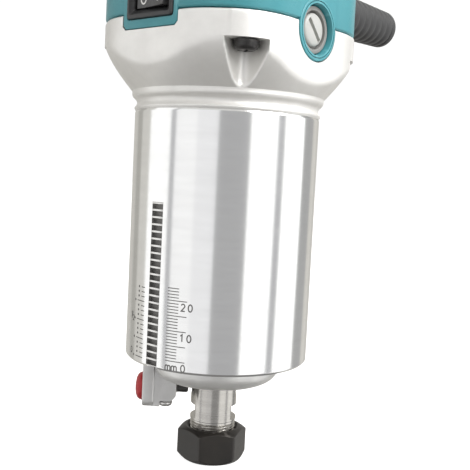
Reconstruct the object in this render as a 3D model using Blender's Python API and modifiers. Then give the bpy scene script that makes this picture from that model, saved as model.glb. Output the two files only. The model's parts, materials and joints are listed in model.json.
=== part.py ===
"""Trim router motor unit: every separate piece as its own solid, placed in one shared frame.

The tool axis is Z, with the collet downwards. The origin is where the axis meets the plane of
the machined barrel's lower end. The switch and the height rack face -Y, the cord leaves along
+Y, and the carbon brushes lie along X. Lengths in this file are millimetres until MM turns
them into metres.
"""
import math

import bmesh
import bpy
from mathutils import Matrix, Vector

MM = 0.001
OBJECT_NAME = "trim_router"

# Driving dimensions
FIT = 0.3                 # gap between two pieces that touch
BARREL_R = 32.5           # the 65 mm cylinder that a router base clamps
BARREL_BORE_R = 28.2
BARREL_TOP = 85.5
FLARE_START = 92.7
FLARE_END = 107.0
FLARE_R = 33.8
FLARE_TOP_R = 43.6
SEAM_Z = 115.0            # cast bell below, moulded head above
HEAD_HALF_X = 36.8        # flats that carry the brushes
HEAD_HALF_Y = 39.5        # flats that carry the switch and the cord
HEAD_CORNER_R = 25.0
HEAD_BORE_R = 33.5
HEAD_LOW_BORE_R = 29.0
BELL_BORE_R = 30.5
LEDGE_Z = 123.6
COVER_Z = 150.0
TOP_Z = 162.2
BOSS_R = 22.6             # boss round the lower bearing

SCREW_CORNERS = (48, 132, 228, 312)
HEAD_SCREW_R = 38.3
RECESS_R = 6.6
RECESS_AT = 40.1
COVER_SCREW_R = 36.5
RETAINER_SCREWS = (60, 210)
RETAINER_SCREW_R = 18.0
BRACKET_SCREWS = (62, 242)
BRACKET_SCREW_R = 31.0

BRUSH_Z = 113.4
BRUSH_BOSS_R = 10.1
BRUSH_HALF_Y = 2.5
BRUSH_HALF_Z = 4.0
BRUSH_INNER_X = 12.35
BRUSH_OUTER_X = 21.5
CAP_SLOT_ANGLE = 43       # from upright, top end towards -Y
COMMUTATOR_R = 12.0

SWITCH_HALF_X = 10.2
SWITCH_LOW_Z = 113.4
SWITCH_HIGH_Z = 127.9
SWITCH_BODY_HALF_X = 8.7
SWITCH_BODY_LOW_Z = 115.5
SWITCH_BODY_HIGH_Z = 126.0
SWITCH_BODY_DEPTH = 10.0
TONGUE_HALF_X = 12.2
TONGUE_Z = 110.4
TONGUE_DEPTH = 4.0

CORD_Z = 133.3
GUARD_TIP_Y = 102.0
GUARD_BORE_R = 4.3
GUARD_NECK_R = 7.4

LOCK_AZIMUTH = -49        # degrees from -Y towards +X
LOCK_Z = -12.8
LOCK_HALF_WIDTH = 9.0
LOCK_IN = 13.4
LOCK_OUT = 25.4
LOCK_LOW_Z = -18.2
LOCK_SCREW_U = 17.2
LOCK_SCREW_V = 6.2
PIN_R = 1.7
BUTTON_R = 5.1

SPINDLE_R = 8.3
THREAD_R = 8.15
SHAFT_R = 5.0
SPINDLE_END = -33.0
SPANNER_FLAT = 6.5
NUT_FLAT = 22.0
NUT_TOP = -26.0
NUT_LOW = -37.8
NUT_AZIMUTH = 51          # where one flat of the hexagon faces
NUT_HOLE_R = 4.6
COLLET_BORE_R = 3.2

RACK_WIDTH = 4.8
RACK_TOP = 55.2
RACK_LOW = 0.8
RACK_PITCH = 2.36
RACK_TEETH = 23

DIAL_X = -14.0
DIAL_Y = -6.0
DIAL_Z = 151.0
DIAL_R = 11.0
DIAL_HALF = 2.6

MATERIALS = {
    "cast_aluminium": ((0.74, 0.74, 0.72), 0.36, 0.85),
    "teal_plastic": ((0.05, 0.33, 0.38), 0.42, 0.0),
    "black_plastic": ((0.03, 0.03, 0.035), 0.48, 0.0),
    "grey_plastic": ((0.42, 0.42, 0.41), 0.5, 0.0),
    "red_plastic": ((0.55, 0.03, 0.04), 0.4, 0.0),
    "rubber": ((0.04, 0.04, 0.04), 0.75, 0.0),
    "bright_steel": ((0.66, 0.66, 0.64), 0.25, 1.0),
    "black_steel": ((0.05, 0.048, 0.045), 0.45, 0.7),
    "core_steel": ((0.35, 0.35, 0.36), 0.5, 0.8),
    "copper": ((0.72, 0.36, 0.2), 0.35, 0.9),
    "carbon": ((0.06, 0.06, 0.06), 0.7, 0.1),
}

collections = {}


# Scene helpers

def clear_scene():
    """Remove every object that the file starts with."""
    for obj in list(bpy.data.objects):
        bpy.data.objects.remove(obj, do_unlink=True)


def make_collection(name):
    """Add a collection to the scene and remember it."""
    group = bpy.data.collections.new(name)
    bpy.context.scene.collection.children.link(group)
    collections[name] = group
    return group


def material(slot):
    """Return the Principled material of one slot, made on first use."""
    found = bpy.data.materials.get(slot)
    if found:
        return found
    color, roughness, metallic = MATERIALS[slot]
    made = bpy.data.materials.new(slot)
    made.use_nodes = True
    shader = made.node_tree.nodes["Principled BSDF"]
    shader.inputs["Base Color"].default_value = (*color, 1.0)
    shader.inputs["Roughness"].default_value = roughness
    shader.inputs["Metallic"].default_value = metallic
    return made


def add_object(name, mesh, slot, cutter=False):
    """Link a mesh as a part, or as a hidden cutter."""
    obj = bpy.data.objects.new(name, mesh)
    if cutter:
        collections["cutters"].objects.link(obj)
        obj.hide_render = True
        obj.display_type = "WIRE"
    else:
        collections[OBJECT_NAME].objects.link(obj)
        mesh.materials.clear()
        mesh.materials.append(material(slot))
    return obj


def direction(azimuth):
    """Unit vector in the XY plane, azimuth in degrees from -Y towards +X."""
    angle = math.radians(azimuth)
    return Vector((math.sin(angle), -math.cos(angle), 0.0))


def at_azimuth(azimuth, radius, z):
    """Point in millimetres at a radius from the tool axis."""
    return direction(azimuth) * radius + Vector((0, 0, z))


def place(obj, point=(0, 0, 0), rotation=(0, 0, 0)):
    """Put an object at a point in millimetres, with an Euler rotation in degrees."""
    obj.location = Vector(point) * MM
    obj.rotation_euler = [math.radians(value) for value in rotation]
    return obj


# Shape helpers

def bmesh_object(name, bm, slot, cutter):
    """Turn a bmesh in millimetres into an object in metres."""
    bmesh.ops.scale(bm, vec=(MM, MM, MM), verts=bm.verts)
    bmesh.ops.recalc_face_normals(bm, faces=bm.faces)
    mesh = bpy.data.meshes.new(name)
    bm.to_mesh(mesh)
    bm.free()
    return add_object(name, mesh, slot, cutter)


def box(name, low, high, slot=None, cutter=False, bevel=0.0):
    """Box between two corners, with optional rounded edges."""
    low, high = Vector(low), Vector(high)
    bm = bmesh.new()
    bmesh.ops.create_cube(bm, size=1.0)
    bmesh.ops.scale(bm, vec=high - low, verts=bm.verts)
    obj = bmesh_object(name, bm, slot, cutter)
    place(obj, (low + high) / 2)
    if bevel:
        add_bevel(obj, bevel)
    return obj


def rod(name, radius, low, high, slot=None, cutter=False, sides=20):
    """Cylinder along its own Z from low to high, with a flat side towards +X."""
    bm = bmesh.new()
    bmesh.ops.create_cone(bm, cap_ends=True, segments=sides, radius1=radius, radius2=radius,
                          depth=high - low)
    bmesh.ops.rotate(bm, matrix=Matrix.Rotation(math.pi / sides, 3, "Z"), verts=bm.verts)
    bmesh.ops.translate(bm, vec=(0, 0, (high + low) / 2), verts=bm.verts)
    return bmesh_object(name, bm, slot, cutter)


def turned(name, profile, slot=None, cutter=False, steps=24, closed=True):
    """Spin a profile of (radius, height) points in millimetres about Z.

    A closed profile makes a ring; an open one starts and ends on the axis. Each runs from the
    top down its outer side.
    """
    points = [(radius * MM, 0.0, height * MM) for radius, height in profile]
    edges = [(i, i + 1) for i in range(len(points) - 1)]
    if closed:
        edges.append((len(points) - 1, 0))
    mesh = bpy.data.meshes.new(name)
    mesh.from_pydata(points, edges, [])
    obj = add_object(name, mesh, slot, cutter)
    screw = obj.modifiers.new("turn", "SCREW")
    screw.steps = steps
    screw.render_steps = steps
    screw.use_merge_vertices = True
    screw.merge_threshold = 0.00001
    return obj


def extruded(name, outline, thickness, slot=None, holes=()):
    """Flat outline in its own XY plane, extruded evenly both ways along Z."""
    curve = bpy.data.curves.new(name, "CURVE")
    curve.dimensions = "2D"
    curve.fill_mode = "BOTH"
    curve.extrude = thickness / 2 * MM
    for loop in (outline, *holes):
        spline = curve.splines.new("POLY")
        spline.points.add(len(loop) - 1)
        for point, (x, y) in zip(spline.points, loop):
            point.co = (x * MM, y * MM, 0.0, 1.0)
        spline.use_cyclic_u = True
    curve.materials.append(material(slot))
    obj = bpy.data.objects.new(name, curve)
    collections[OBJECT_NAME].objects.link(obj)
    return as_mesh(obj)


def tube(name, points, radius, slot, cyclic=False, bevel_resolution=2):
    """Round wire through points in millimetres."""
    curve = bpy.data.curves.new(name, "CURVE")
    curve.dimensions = "3D"
    curve.bevel_depth = radius * MM
    curve.bevel_resolution = bevel_resolution
    curve.use_fill_caps = not cyclic
    spline = curve.splines.new("POLY")
    spline.points.add(len(points) - 1)
    for target, point in zip(spline.points, points):
        target.co = (*(Vector(point) * MM), 1.0)
    spline.use_cyclic_u = cyclic
    curve.materials.append(material(slot))
    obj = bpy.data.objects.new(name, curve)
    collections[OBJECT_NAME].objects.link(obj)
    return obj


def as_mesh(obj):
    """Replace a curve object with a welded mesh of the same shape."""
    graph = bpy.context.evaluated_depsgraph_get()
    mesh = bpy.data.meshes.new_from_object(obj.evaluated_get(graph))
    bm = bmesh.new()
    bm.from_mesh(mesh)
    bmesh.ops.remove_doubles(bm, verts=bm.verts, dist=0.000001)
    bmesh.ops.recalc_face_normals(bm, faces=bm.faces)
    bm.to_mesh(mesh)
    bm.free()
    name = obj.name
    matrix = obj.matrix_world.copy()
    bpy.data.objects.remove(obj, do_unlink=True)
    made = bpy.data.objects.new(name, mesh)
    made.matrix_world = matrix
    collections[OBJECT_NAME].objects.link(made)
    return made


def helix(start, end, radius, turns, per_turn=8):
    """Points of a coil along Z between two heights."""
    count = turns * per_turn
    points = []
    for i in range(count + 1):
        angle = math.tau * i / per_turn
        height = start + (end - start) * i / count
        points.append((radius * math.cos(angle), radius * math.sin(angle), height))
    return points


def head_radius(angle, inset=0.0):
    """Distance from the axis to the head's rounded rectangle, angle from +X in radians."""
    half_x, half_y = HEAD_HALF_X - inset, HEAD_HALF_Y - inset
    corner = HEAD_CORNER_R - inset
    c, s = abs(math.cos(angle)), abs(math.sin(angle))
    centre_x, centre_y = half_x - corner, half_y - corner
    flat_x = half_x / c if c > 1e-9 else math.inf
    if flat_x * s <= centre_y:
        return flat_x
    flat_y = half_y / s if s > 1e-9 else math.inf
    if flat_y * c <= centre_x:
        return flat_y
    along = centre_x * c + centre_y * s
    return along + math.sqrt(along ** 2 - centre_x ** 2 - centre_y ** 2 + corner ** 2)


def loft(name, rings, slot, capped=False, sides=48):
    """Skin through rings of (height, radius function).

    A capped skin has a flat face on its first and last ring; another joins the last ring to
    the first.
    """
    bm = bmesh.new()
    loops = []
    for height, radius_at in rings:
        loop = []
        for i in range(sides):
            angle = math.tau * i / sides
            radius = radius_at(angle)
            loop.append(bm.verts.new((radius * math.cos(angle), radius * math.sin(angle), height)))
        loops.append(loop)
    following = loops[1:] if capped else loops[1:] + loops[:1]
    for lower, upper in zip(loops, following):
        for i in range(sides):
            j = (i + 1) % sides
            bm.faces.new((lower[i], lower[j], upper[j], upper[i]))
    if capped:
        bm.faces.new(loops[0])
        bm.faces.new(loops[-1])
    return bmesh_object(name, bm, slot, False)


def circle(radius):
    """Radius function of a round ring."""
    return lambda angle: radius


def prism(inset=0.0):
    """Radius function of the head's outline, moved inwards by an inset."""
    return lambda angle: head_radius(angle, inset)


def flare(height):
    """Radius function of the bell: a flared cone, trimmed by the head's outline."""
    rise = min(1.0, (height - FLARE_START) / (FLARE_END - FLARE_START))
    cone = FLARE_R + (FLARE_TOP_R - FLARE_R) * (1 - (1 - rise) ** 1.35)
    return lambda angle: min(cone, head_radius(angle))


# Modifiers

def add_bevel(obj, width, segments=2):
    """Round the sharp edges of an object."""
    bevel = obj.modifiers.new("round", "BEVEL")
    bevel.width = width * MM
    bevel.segments = segments
    bevel.limit_method = "ANGLE"
    bevel.angle_limit = math.radians(40)
    return obj


def combine(obj, other, operation="DIFFERENCE"):
    """Apply one exact Boolean from another object."""
    modifier = obj.modifiers.new(other.name, "BOOLEAN")
    modifier.operation = operation
    modifier.solver = "EXACT"
    modifier.object = other
    return obj


def cut(obj, *cutters):
    """Take several cutters away from an object."""
    for cutter in cutters:
        combine(obj, cutter)
    return obj


def screw_solid(name, shank_r, shank_top, head_r, head_low, head_high, slot):
    """Pan head below a shank, or above it where the shank runs down."""
    if shank_top > head_high:
        profile = [(0, shank_top), (shank_r, shank_top), (shank_r, head_high),
                   (head_r, head_high), (head_r, head_low + 0.8), (head_r - 0.8, head_low),
                   (0, head_low)]
    else:
        profile = [(0, head_high), (head_r - 0.8, head_high), (head_r, head_high - 0.8),
                   (head_r, head_low), (shank_r, head_low), (shank_r, shank_top),
                   (0, shank_top)]
    return turned(name, profile, slot, steps=8, closed=False)


def screw_set(name, places, *sizes):
    """Identical screws, one object at each point."""
    for i, point in enumerate(places, start=1):
        place(screw_solid(f"{name}_{i}", *sizes), point)


# Casings

def barrel_housing():
    """Cast motor housing: nose, machined barrel and the flared bell, one casting."""
    flare_heights = (FLARE_START, 94.6, 96.8, 99.2, 101.6, 104.0, FLARE_END)
    outer = [
        (-9.0, circle(9.2)), (-9.0, circle(15.5)), (-8.3, circle(18.6)), (-6.6, circle(21.4)),
        (-4.4, circle(22.9)), (0.0, circle(23.4)), (0.0, circle(31.9)), (0.6, circle(BARREL_R)),
        (BARREL_TOP, circle(BARREL_R)), (87.0, circle(32.8)), (88.2, circle(32.3)),
        (89.6, circle(32.6)), (90.8, circle(33.4)), (91.9, circle(33.6)),
    ]
    outer += [(height, flare(height)) for height in flare_heights]
    outer += [(SEAM_Z - 0.6, prism()), (SEAM_Z, prism(0.6))]
    inner = [
        (SEAM_Z, circle(BELL_BORE_R)), (104.0, circle(BELL_BORE_R)), (98.0, circle(BARREL_BORE_R)),
        (4.5, circle(BARREL_BORE_R)), (4.5, circle(BOSS_R)), (10.6, circle(BOSS_R)),
        (10.6, circle(14.3)), (1.8, circle(14.3)), (1.8, circle(9.2)),
    ]
    housing = loft("barrel_housing", outer + inner, "cast_aluminium")

    cutters = []
    for azimuth in SCREW_CORNERS:
        recess = rod(f"recess_{azimuth}", RECESS_R, 86.0, FLARE_END - 0.2, cutter=True, sides=20)
        place(recess, at_azimuth(azimuth, RECESS_AT, 0))
        hole = rod(f"head_screw_hole_{azimuth}", 2.3, 100.0, 120.0, cutter=True, sides=16)
        place(hole, at_azimuth(azimuth, HEAD_SCREW_R, 0))
        cutters += [recess, hole]
    for side in (-1, 1):
        slot_round = rod(f"brush_notch_{side}", BRUSH_BOSS_R + FIT, 24.0, 48.0, cutter=True, sides=24)
        place(slot_round, (0, 0, BRUSH_Z), (0, 90 * side, 0))
        reach = BRUSH_BOSS_R + FIT
        slot_box = box(f"brush_notch_top_{side}", (24, -reach, BRUSH_Z), (48, reach, SEAM_Z + 5),
                       cutter=True)
        slot_box.location.x *= side
        cutters += [slot_round, slot_box]
    reach = TONGUE_HALF_X + FIT
    depth = HEAD_HALF_Y - TONGUE_DEPTH - FIT
    cutters.append(box("tongue_notch", (-reach, -60, TONGUE_Z - FIT), (reach, -depth, SEAM_Z + 5),
                       cutter=True))
    lock = box("lock_notch", (-LOCK_HALF_WIDTH - FIT, -40, -30),
               (LOCK_HALF_WIDTH + FIT, -LOCK_IN + FIT, 0.1), cutter=True)
    cutters.append(around_axis(lock, LOCK_AZIMUTH))
    for side in (-1, 1):
        hole = rod(f"lock_hole_{side}", 1.8, -1.0, 8.0, cutter=True, sides=12)
        place(hole, lock_point(LOCK_SCREW_U, LOCK_SCREW_V * side, 0))
        cutters.append(hole)
    for azimuth in RETAINER_SCREWS:
        hole = rod(f"retainer_hole_{azimuth}", 1.5, 4.0, 12.0, cutter=True, sides=12)
        cutters.append(place(hole, at_azimuth(azimuth, RETAINER_SCREW_R, 0)))
    for azimuth in (30, 90, 150, 210, 270):
        port = box(f"exhaust_port_{azimuth}", (-6, -27.6, -2), (6, -24.4, 8), cutter=True)
        cutters.append(around_axis(port, azimuth))
    rack_slot = box("rack_slot", (-RACK_WIDTH / 2 - FIT, -40, -1),
                    (RACK_WIDTH / 2 + FIT, -BARREL_R + 2.4, RACK_TOP + FIT), cutter=True)
    cutters.append(rack_slot)
    return cut(housing, *cutters)


def around_axis(obj, azimuth):
    """Turn an object built facing -Y to face another azimuth."""
    turn = Matrix.Rotation(math.radians(azimuth), 4, "Z")
    obj.location = turn @ obj.location
    obj.rotation_euler.z = math.radians(azimuth)
    return obj


def lock_point(u, v, z):
    """Point given by its reach along the lock's axis, its side offset and its height."""
    along = direction(LOCK_AZIMUTH)
    across = direction(LOCK_AZIMUTH + 90)
    return along * u + across * v + Vector((0, 0, z))


def head_housing():
    """Moulded head: a rounded square shell with a bridge for the bearing and brush bosses."""
    low = SEAM_Z + FIT
    rings = [
        (low, circle(HEAD_LOW_BORE_R)), (low, prism(0.6)), (low + 0.6, prism()),
        (COVER_Z - 0.5, prism()), (COVER_Z, prism(0.5)), (COVER_Z, circle(HEAD_BORE_R)),
        (LEDGE_Z, circle(HEAD_BORE_R)), (LEDGE_Z, circle(HEAD_LOW_BORE_R)),
    ]
    head = loft("head_housing", rings, "teal_plastic")
    for side in (-1, 1):
        boss = rod(f"brush_boss_{side}", BRUSH_BOSS_R, HEAD_LOW_BORE_R, HEAD_HALF_X + 0.3,
                   cutter=True, sides=24)
        place(boss, (0, 0, BRUSH_Z), (0, 90 * side, 0))
        combine(head, boss, "UNION")
    tongue = box("switch_tongue", (-TONGUE_HALF_X, -HEAD_HALF_Y, TONGUE_Z),
                 (TONGUE_HALF_X, -HEAD_HALF_Y + TONGUE_DEPTH, SEAM_Z + 2), cutter=True)
    combine(head, tongue, "UNION")

    cutters = []
    for side in (-1, 1):
        bore = rod(f"holder_bore_{side}", 6.9, 20, 50, cutter=True, sides=20)
        sink = rod(f"holder_sink_{side}", 7.9, 33.9, 50, cutter=True, sides=28)
        for obj in (bore, sink):
            place(obj, (0, 0, BRUSH_Z), (0, 90 * side, 0))
            cutters.append(obj)
    pocket_x = SWITCH_BODY_HALF_X + FIT
    cutters.append(box("switch_pocket", (-pocket_x, -60, SWITCH_BODY_LOW_Z - FIT),
                       (pocket_x, -HEAD_HALF_Y + SWITCH_BODY_DEPTH + FIT, SWITCH_BODY_HIGH_Z + FIT),
                       cutter=True))
    frame_x = SWITCH_HALF_X + FIT
    cutters.append(box("bezel_seat", (-frame_x, -60, SWITCH_LOW_Z - FIT),
                       (frame_x, -HEAD_HALF_Y + 0.9, SWITCH_HIGH_Z + FIT), cutter=True))
    guard = rod("guard_hole", GUARD_NECK_R + FIT, 20, 60, cutter=True, sides=24)
    cutters.append(place(guard, (0, 0, CORD_Z), (-90, 0, 0)))
    for azimuth in SCREW_CORNERS:
        low_hole = rod(f"head_thread_{azimuth}", 2.3, 110, 128, cutter=True, sides=16)
        cutters.append(place(low_hole, at_azimuth(azimuth, HEAD_SCREW_R, 0)))
        top_hole = rod(f"cover_thread_{azimuth}", 2.0, 141.5, 155, cutter=True, sides=12)
        cutters.append(place(top_hole, at_azimuth(azimuth, COVER_SCREW_R, 0)))
    for azimuth in BRACKET_SCREWS:
        hole = rod(f"bracket_thread_{azimuth}", 1.5, 116.6, 125, cutter=True, sides=12)
        cutters.append(place(hole, at_azimuth(azimuth, BRACKET_SCREW_R, 0)))
    return cut(head, *cutters)


def top_cover():
    """Flat lid of the head, with the speed dial's window."""
    low = COVER_Z + FIT
    rings = [
        (TOP_Z - 4.2, circle(HEAD_BORE_R - 1.5)), (low, circle(HEAD_BORE_R)), (low, prism(0.5)),
        (low + 0.5, prism()), (TOP_Z - 4.6, prism()), (TOP_Z - 2.6, prism(0.6)),
        (TOP_Z - 1.0, prism(1.9)), (TOP_Z - 0.2, prism(3.6)), (TOP_Z, prism(5.4)),
    ]
    cover = loft("top_cover", rings, "teal_plastic", capped=True)
    cutters = [
        box("dial_window", (DIAL_X - 9.5, DIAL_Y - DIAL_HALF - 0.5, TOP_Z - 6),
            (DIAL_X + 9.5, DIAL_Y + DIAL_HALF + 0.5, TOP_Z + 2), cutter=True),
        box("dial_dish", (DIAL_X - 12.5, DIAL_Y - 6.5, TOP_Z - 2.2),
            (DIAL_X + 12.5, DIAL_Y + 6.5, TOP_Z + 2), cutter=True),
    ]
    for azimuth in SCREW_CORNERS:
        sink = rod(f"cover_sink_{azimuth}", 3.2, 157.2, 170, cutter=True, sides=20)
        hole = rod(f"cover_hole_{azimuth}", 2.0, 145, 160, cutter=True, sides=12)
        for obj in (sink, hole):
            cutters.append(place(obj, at_azimuth(azimuth, COVER_SCREW_R, 0)))
    return cut(cover, *cutters)


# Switch and speed dial

def switch_parts():
    """Bezel with its body, and the rocker that tips about an upright pivot."""
    front = -HEAD_HALF_Y
    bezel = box("switch_bezel", (-SWITCH_HALF_X, front - 0.7, SWITCH_LOW_Z),
                (SWITCH_HALF_X, front + 0.6, SWITCH_HIGH_Z), "black_plastic")
    body = box("switch_body_block", (-SWITCH_BODY_HALF_X, front + 0.3, SWITCH_BODY_LOW_Z),
               (SWITCH_BODY_HALF_X, front + SWITCH_BODY_DEPTH, SWITCH_BODY_HIGH_Z), cutter=True)
    combine(bezel, body, "UNION")
    well = box("switch_well", (-7.9, front - 5, SWITCH_BODY_LOW_Z + 0.9),
               (7.9, front + 7.0, SWITCH_BODY_HIGH_Z - 0.9), cutter=True)
    cut(bezel, well)
    pivot_y = front + 3.2
    outline = [(-6.9, -2.4), (0.0, -3.1), (6.9, -4.6), (7.0, -1.6), (5.0, 1.6), (-5.0, 1.6),
               (-7.0, 0.2)]
    height = SWITCH_BODY_HIGH_Z - SWITCH_BODY_LOW_Z - 2.4
    rocker = extruded("switch_rocker", outline, height, "black_plastic")
    place(rocker, (0, pivot_y, (SWITCH_BODY_HIGH_Z + SWITCH_BODY_LOW_Z) / 2))
    return bezel, rocker


def speed_parts():
    """Thumbwheel with a ribbed rim, and the controller block that holds its shaft."""
    rim = []
    ribs = 30
    for i in range(ribs * 2):
        radius = DIAL_R if i % 2 else DIAL_R - 0.5
        angle = math.tau * i / (ribs * 2)
        rim.append((radius * math.cos(angle), radius * math.sin(angle)))
    dial = extruded("speed_dial", rim, DIAL_HALF * 2, "black_plastic")
    shaft = rod("dial_shaft", 1.8, DIAL_HALF - 1, DIAL_HALF + 6.0, cutter=True, sides=16)
    place(dial, (DIAL_X, DIAL_Y, DIAL_Z), (90, 0, 0))
    place(shaft, (DIAL_X, DIAL_Y, DIAL_Z), (-90, 0, 0))
    combine(dial, shaft, "UNION")
    block_y = DIAL_Y + DIAL_HALF + 1.0
    controller = box("speed_controller", (DIAL_X - 9, block_y, 139.0),
                     (DIAL_X + 12, block_y + 18, 154.5), "black_plastic", bevel=0.8)
    hole = rod("controller_hole", 2.1, 0, DIAL_HALF + 7.0, cutter=True, sides=16)
    place(hole, (DIAL_X, DIAL_Y, DIAL_Z), (-90, 0, 0))
    cut(controller, hole)
    return dial, controller


# Cord entry

def cord_parts():
    """Tapered rubber guard through the back wall, and the clamp that takes the cord's pull."""
    wall = HEAD_HALF_Y
    profile = [
        (GUARD_BORE_R, GUARD_TIP_Y), (7.4, GUARD_TIP_Y), (8.0, GUARD_TIP_Y - 0.8),
        (8.4, 85.0), (9.4, wall + 3.4), (9.0, wall + 0.4), (GUARD_NECK_R, wall + 0.4),
        (GUARD_NECK_R, HEAD_BORE_R - 1.4), (9.2, HEAD_BORE_R - 1.4), (9.2, HEAD_BORE_R - 4.0),
        (GUARD_BORE_R, HEAD_BORE_R - 4.0),
    ]
    guard = turned("cord_guard", profile, "rubber", steps=20)
    place(guard, (0, 0, CORD_Z), (-90, 0, 0))
    strap = box("cord_clamp", (-11, 16, 127.4), (11, 22, 137.5), "black_plastic", bevel=0.5)
    channel = rod("clamp_channel", 4.2, 10, 30, cutter=True, sides=24)
    place(channel, (0, 0, CORD_Z - 1.6), (-90, 0, 0))
    gap = box("clamp_gap", (-4.2, 10, 120), (4.2, 30, CORD_Z - 1.6), cutter=True)
    shoulders = [box(f"clamp_shoulder_{side}", (5.4, 10, 131.2), (20, 30, 150), cutter=True)
                 for side in (-1, 1)]
    shoulders[0].location.x *= -1
    holes = []
    for side in (-1, 1):
        hole = rod(f"clamp_hole_{side}", 1.8, 120, 140, cutter=True, sides=12)
        holes.append(place(hole, (8.2 * side, 19, 0)))
    cut(strap, channel, gap, *shoulders, *holes)
    screw_set("cord_clamp_screw", [(8.2 * side, 19, 0) for side in (-1, 1)],
              1.5, 125.4, 2.5, 131.5, 133.3, "bright_steel")
    return guard, strap


# Bearings

def bearing(prefix, bore_r, outer_r, low, high, ball_r, balls):
    """Deep groove ball bearing: two grooved rings, and the balls held by their cage."""
    pitch = (bore_r + outer_r) / 2
    middle = (low + high) / 2
    groove = ball_r + 0.3
    lip = ball_r * 0.62
    arc = [math.radians(angle) for angle in (60, 30, 0, -30, -60)]
    inner_side = [(pitch - groove * math.cos(a), middle + groove * math.sin(a)) for a in arc]
    outer_side = [(pitch + groove * math.cos(a), middle + groove * math.sin(a)) for a in arc]
    inner_lip, outer_lip = pitch - lip, pitch + lip
    inner = [(bore_r, high), (inner_lip, high)] + [p for p in inner_side if p[0] < inner_lip]
    inner += [(inner_lip, low), (bore_r, low)]
    outer = [(outer_lip, high), (outer_r, high), (outer_r, low), (outer_lip, low)]
    outer += [p for p in reversed(outer_side) if p[0] > outer_lip]
    turned(f"{prefix}_inner", inner, "bright_steel", steps=20)
    turned(f"{prefix}_outer", outer, "bright_steel", steps=20)
    cage = turned(f"{prefix}_balls", [(pitch - 0.5, middle + 0.7), (pitch + 0.5, middle + 0.7),
                                      (pitch + 0.5, middle - 0.7), (pitch - 0.5, middle - 0.7)],
                  "bright_steel", steps=24)
    for i in range(balls):
        bm = bmesh.new()
        bmesh.ops.create_icosphere(bm, subdivisions=1, radius=ball_r)
        ball = bmesh_object(f"{prefix}_ball_{i}", bm, None, True)
        combine(cage, place(ball, at_azimuth(360 * i / balls + 4, pitch, middle)), "UNION")


def bearing_mounts():
    """Retainer of the lower bearing, sleeve and bracket of the upper one, and their screws."""
    retainer = turned("bearing_retainer", [(12.6, 12.1), (21.4, 12.1), (21.4, 10.9), (12.6, 10.9)],
                      "bright_steel", steps=20)
    for azimuth in RETAINER_SCREWS:
        hole = rod(f"plate_hole_{azimuth}", 1.7, 8, 15, cutter=True, sides=12)
        cut(retainer, place(hole, at_azimuth(azimuth, RETAINER_SCREW_R, 0)))
    screw_set("retainer_screw", [at_azimuth(a, RETAINER_SCREW_R, 0) for a in RETAINER_SCREWS],
              1.2, 5.0, 2.6, 12.4, 14.2, "bright_steel")
    turned("bearing_sleeve", [(11.3, 134.0), (12.9, 134.0), (12.9, 127.3), (11.3, 127.3)],
           "rubber", steps=20)
    profile = [(5.5, 137.2), (16.0, 137.2), (16.0, 127.0), (33.0, 127.0), (33.0, 123.9),
               (13.2, 123.9), (13.2, 134.9), (5.5, 134.9)]
    bracket = turned("bearing_bracket", profile, "grey_plastic")
    cut(bracket,
        box("bracket_front", (-10, -40, 120), (10, -28.5, 130), cutter=True),
        box("bracket_back", (-10.5, 28.5, 120), (10.5, 40, 130), cutter=True),
        box("bracket_window", (-30, -7, 120), (-18.5, 7, 130), cutter=True),
        box("bracket_window_right", (18.5, -7, 120), (30, 7, 130), cutter=True))
    for azimuth in BRACKET_SCREWS:
        hole = rod(f"bracket_hole_{azimuth}", 1.7, 120, 130, cutter=True, sides=12)
        cut(bracket, place(hole, at_azimuth(azimuth, BRACKET_SCREW_R, 0)))
    for side in (-1, 1):
        hole = rod(f"bracket_clamp_hole_{side}", 1.8, 120, 130, cutter=True, sides=12)
        cut(bracket, place(hole, (8.2 * side, 19, 0)))
    screw_set("bracket_screw", [at_azimuth(a, BRACKET_SCREW_R, 0) for a in BRACKET_SCREWS],
              1.2, 117.0, 1.9, 127.3, 129.0, "bright_steel")


# Motor

def field_parts():
    """Stator core with two poles, its saddle coils and the air baffle below them."""
    low, high = 48.0, 86.0
    outer = [(27.8 * math.cos(math.tau * i / 48), 27.8 * math.sin(math.tau * i / 48))
             for i in range(48)]
    hole = []
    for pole in (0, 180):
        hole += [polar(17.2, pole + a) for a in range(-42, 43, 12)]
        hole += [polar(24.0, pole + a) for a in (45, 60, 75, 90, 105, 120, 135)]
    core = extruded("field_core", outer, high - low, "core_steel", holes=(hole,))
    place(core, (0, 0, (low + high) / 2))
    for side, name in ((0, "field_coil_right"), (180, "field_coil_left")):
        path = []
        for angle in range(-52, 53, 13):
            path.append(spatial(20.6, side + angle, high + 3.4))
        for height in (high, (low + high) / 2, low):
            path.append(spatial(20.6, side + 52, height))
        for angle in range(52, -53, -13):
            path.append(spatial(20.6, side + angle, low - 3.4))
        for height in (low, (low + high) / 2, high):
            path.append(spatial(20.6, side - 52, height))
        tube(name, path, 2.1, "copper", cyclic=True)
    turned("air_baffle", [(19.0, 34.0), (27.9, 34.0), (27.9, 31.8), (19.0, 31.8)],
           "black_plastic", steps=20)


def polar(radius, angle):
    """Point in the XY plane, angle in degrees from +X."""
    return (radius * math.cos(math.radians(angle)), radius * math.sin(math.radians(angle)))


def spatial(radius, angle, height):
    """Point at a height, angle in degrees from +X."""
    return (*polar(radius, angle), height)


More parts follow.
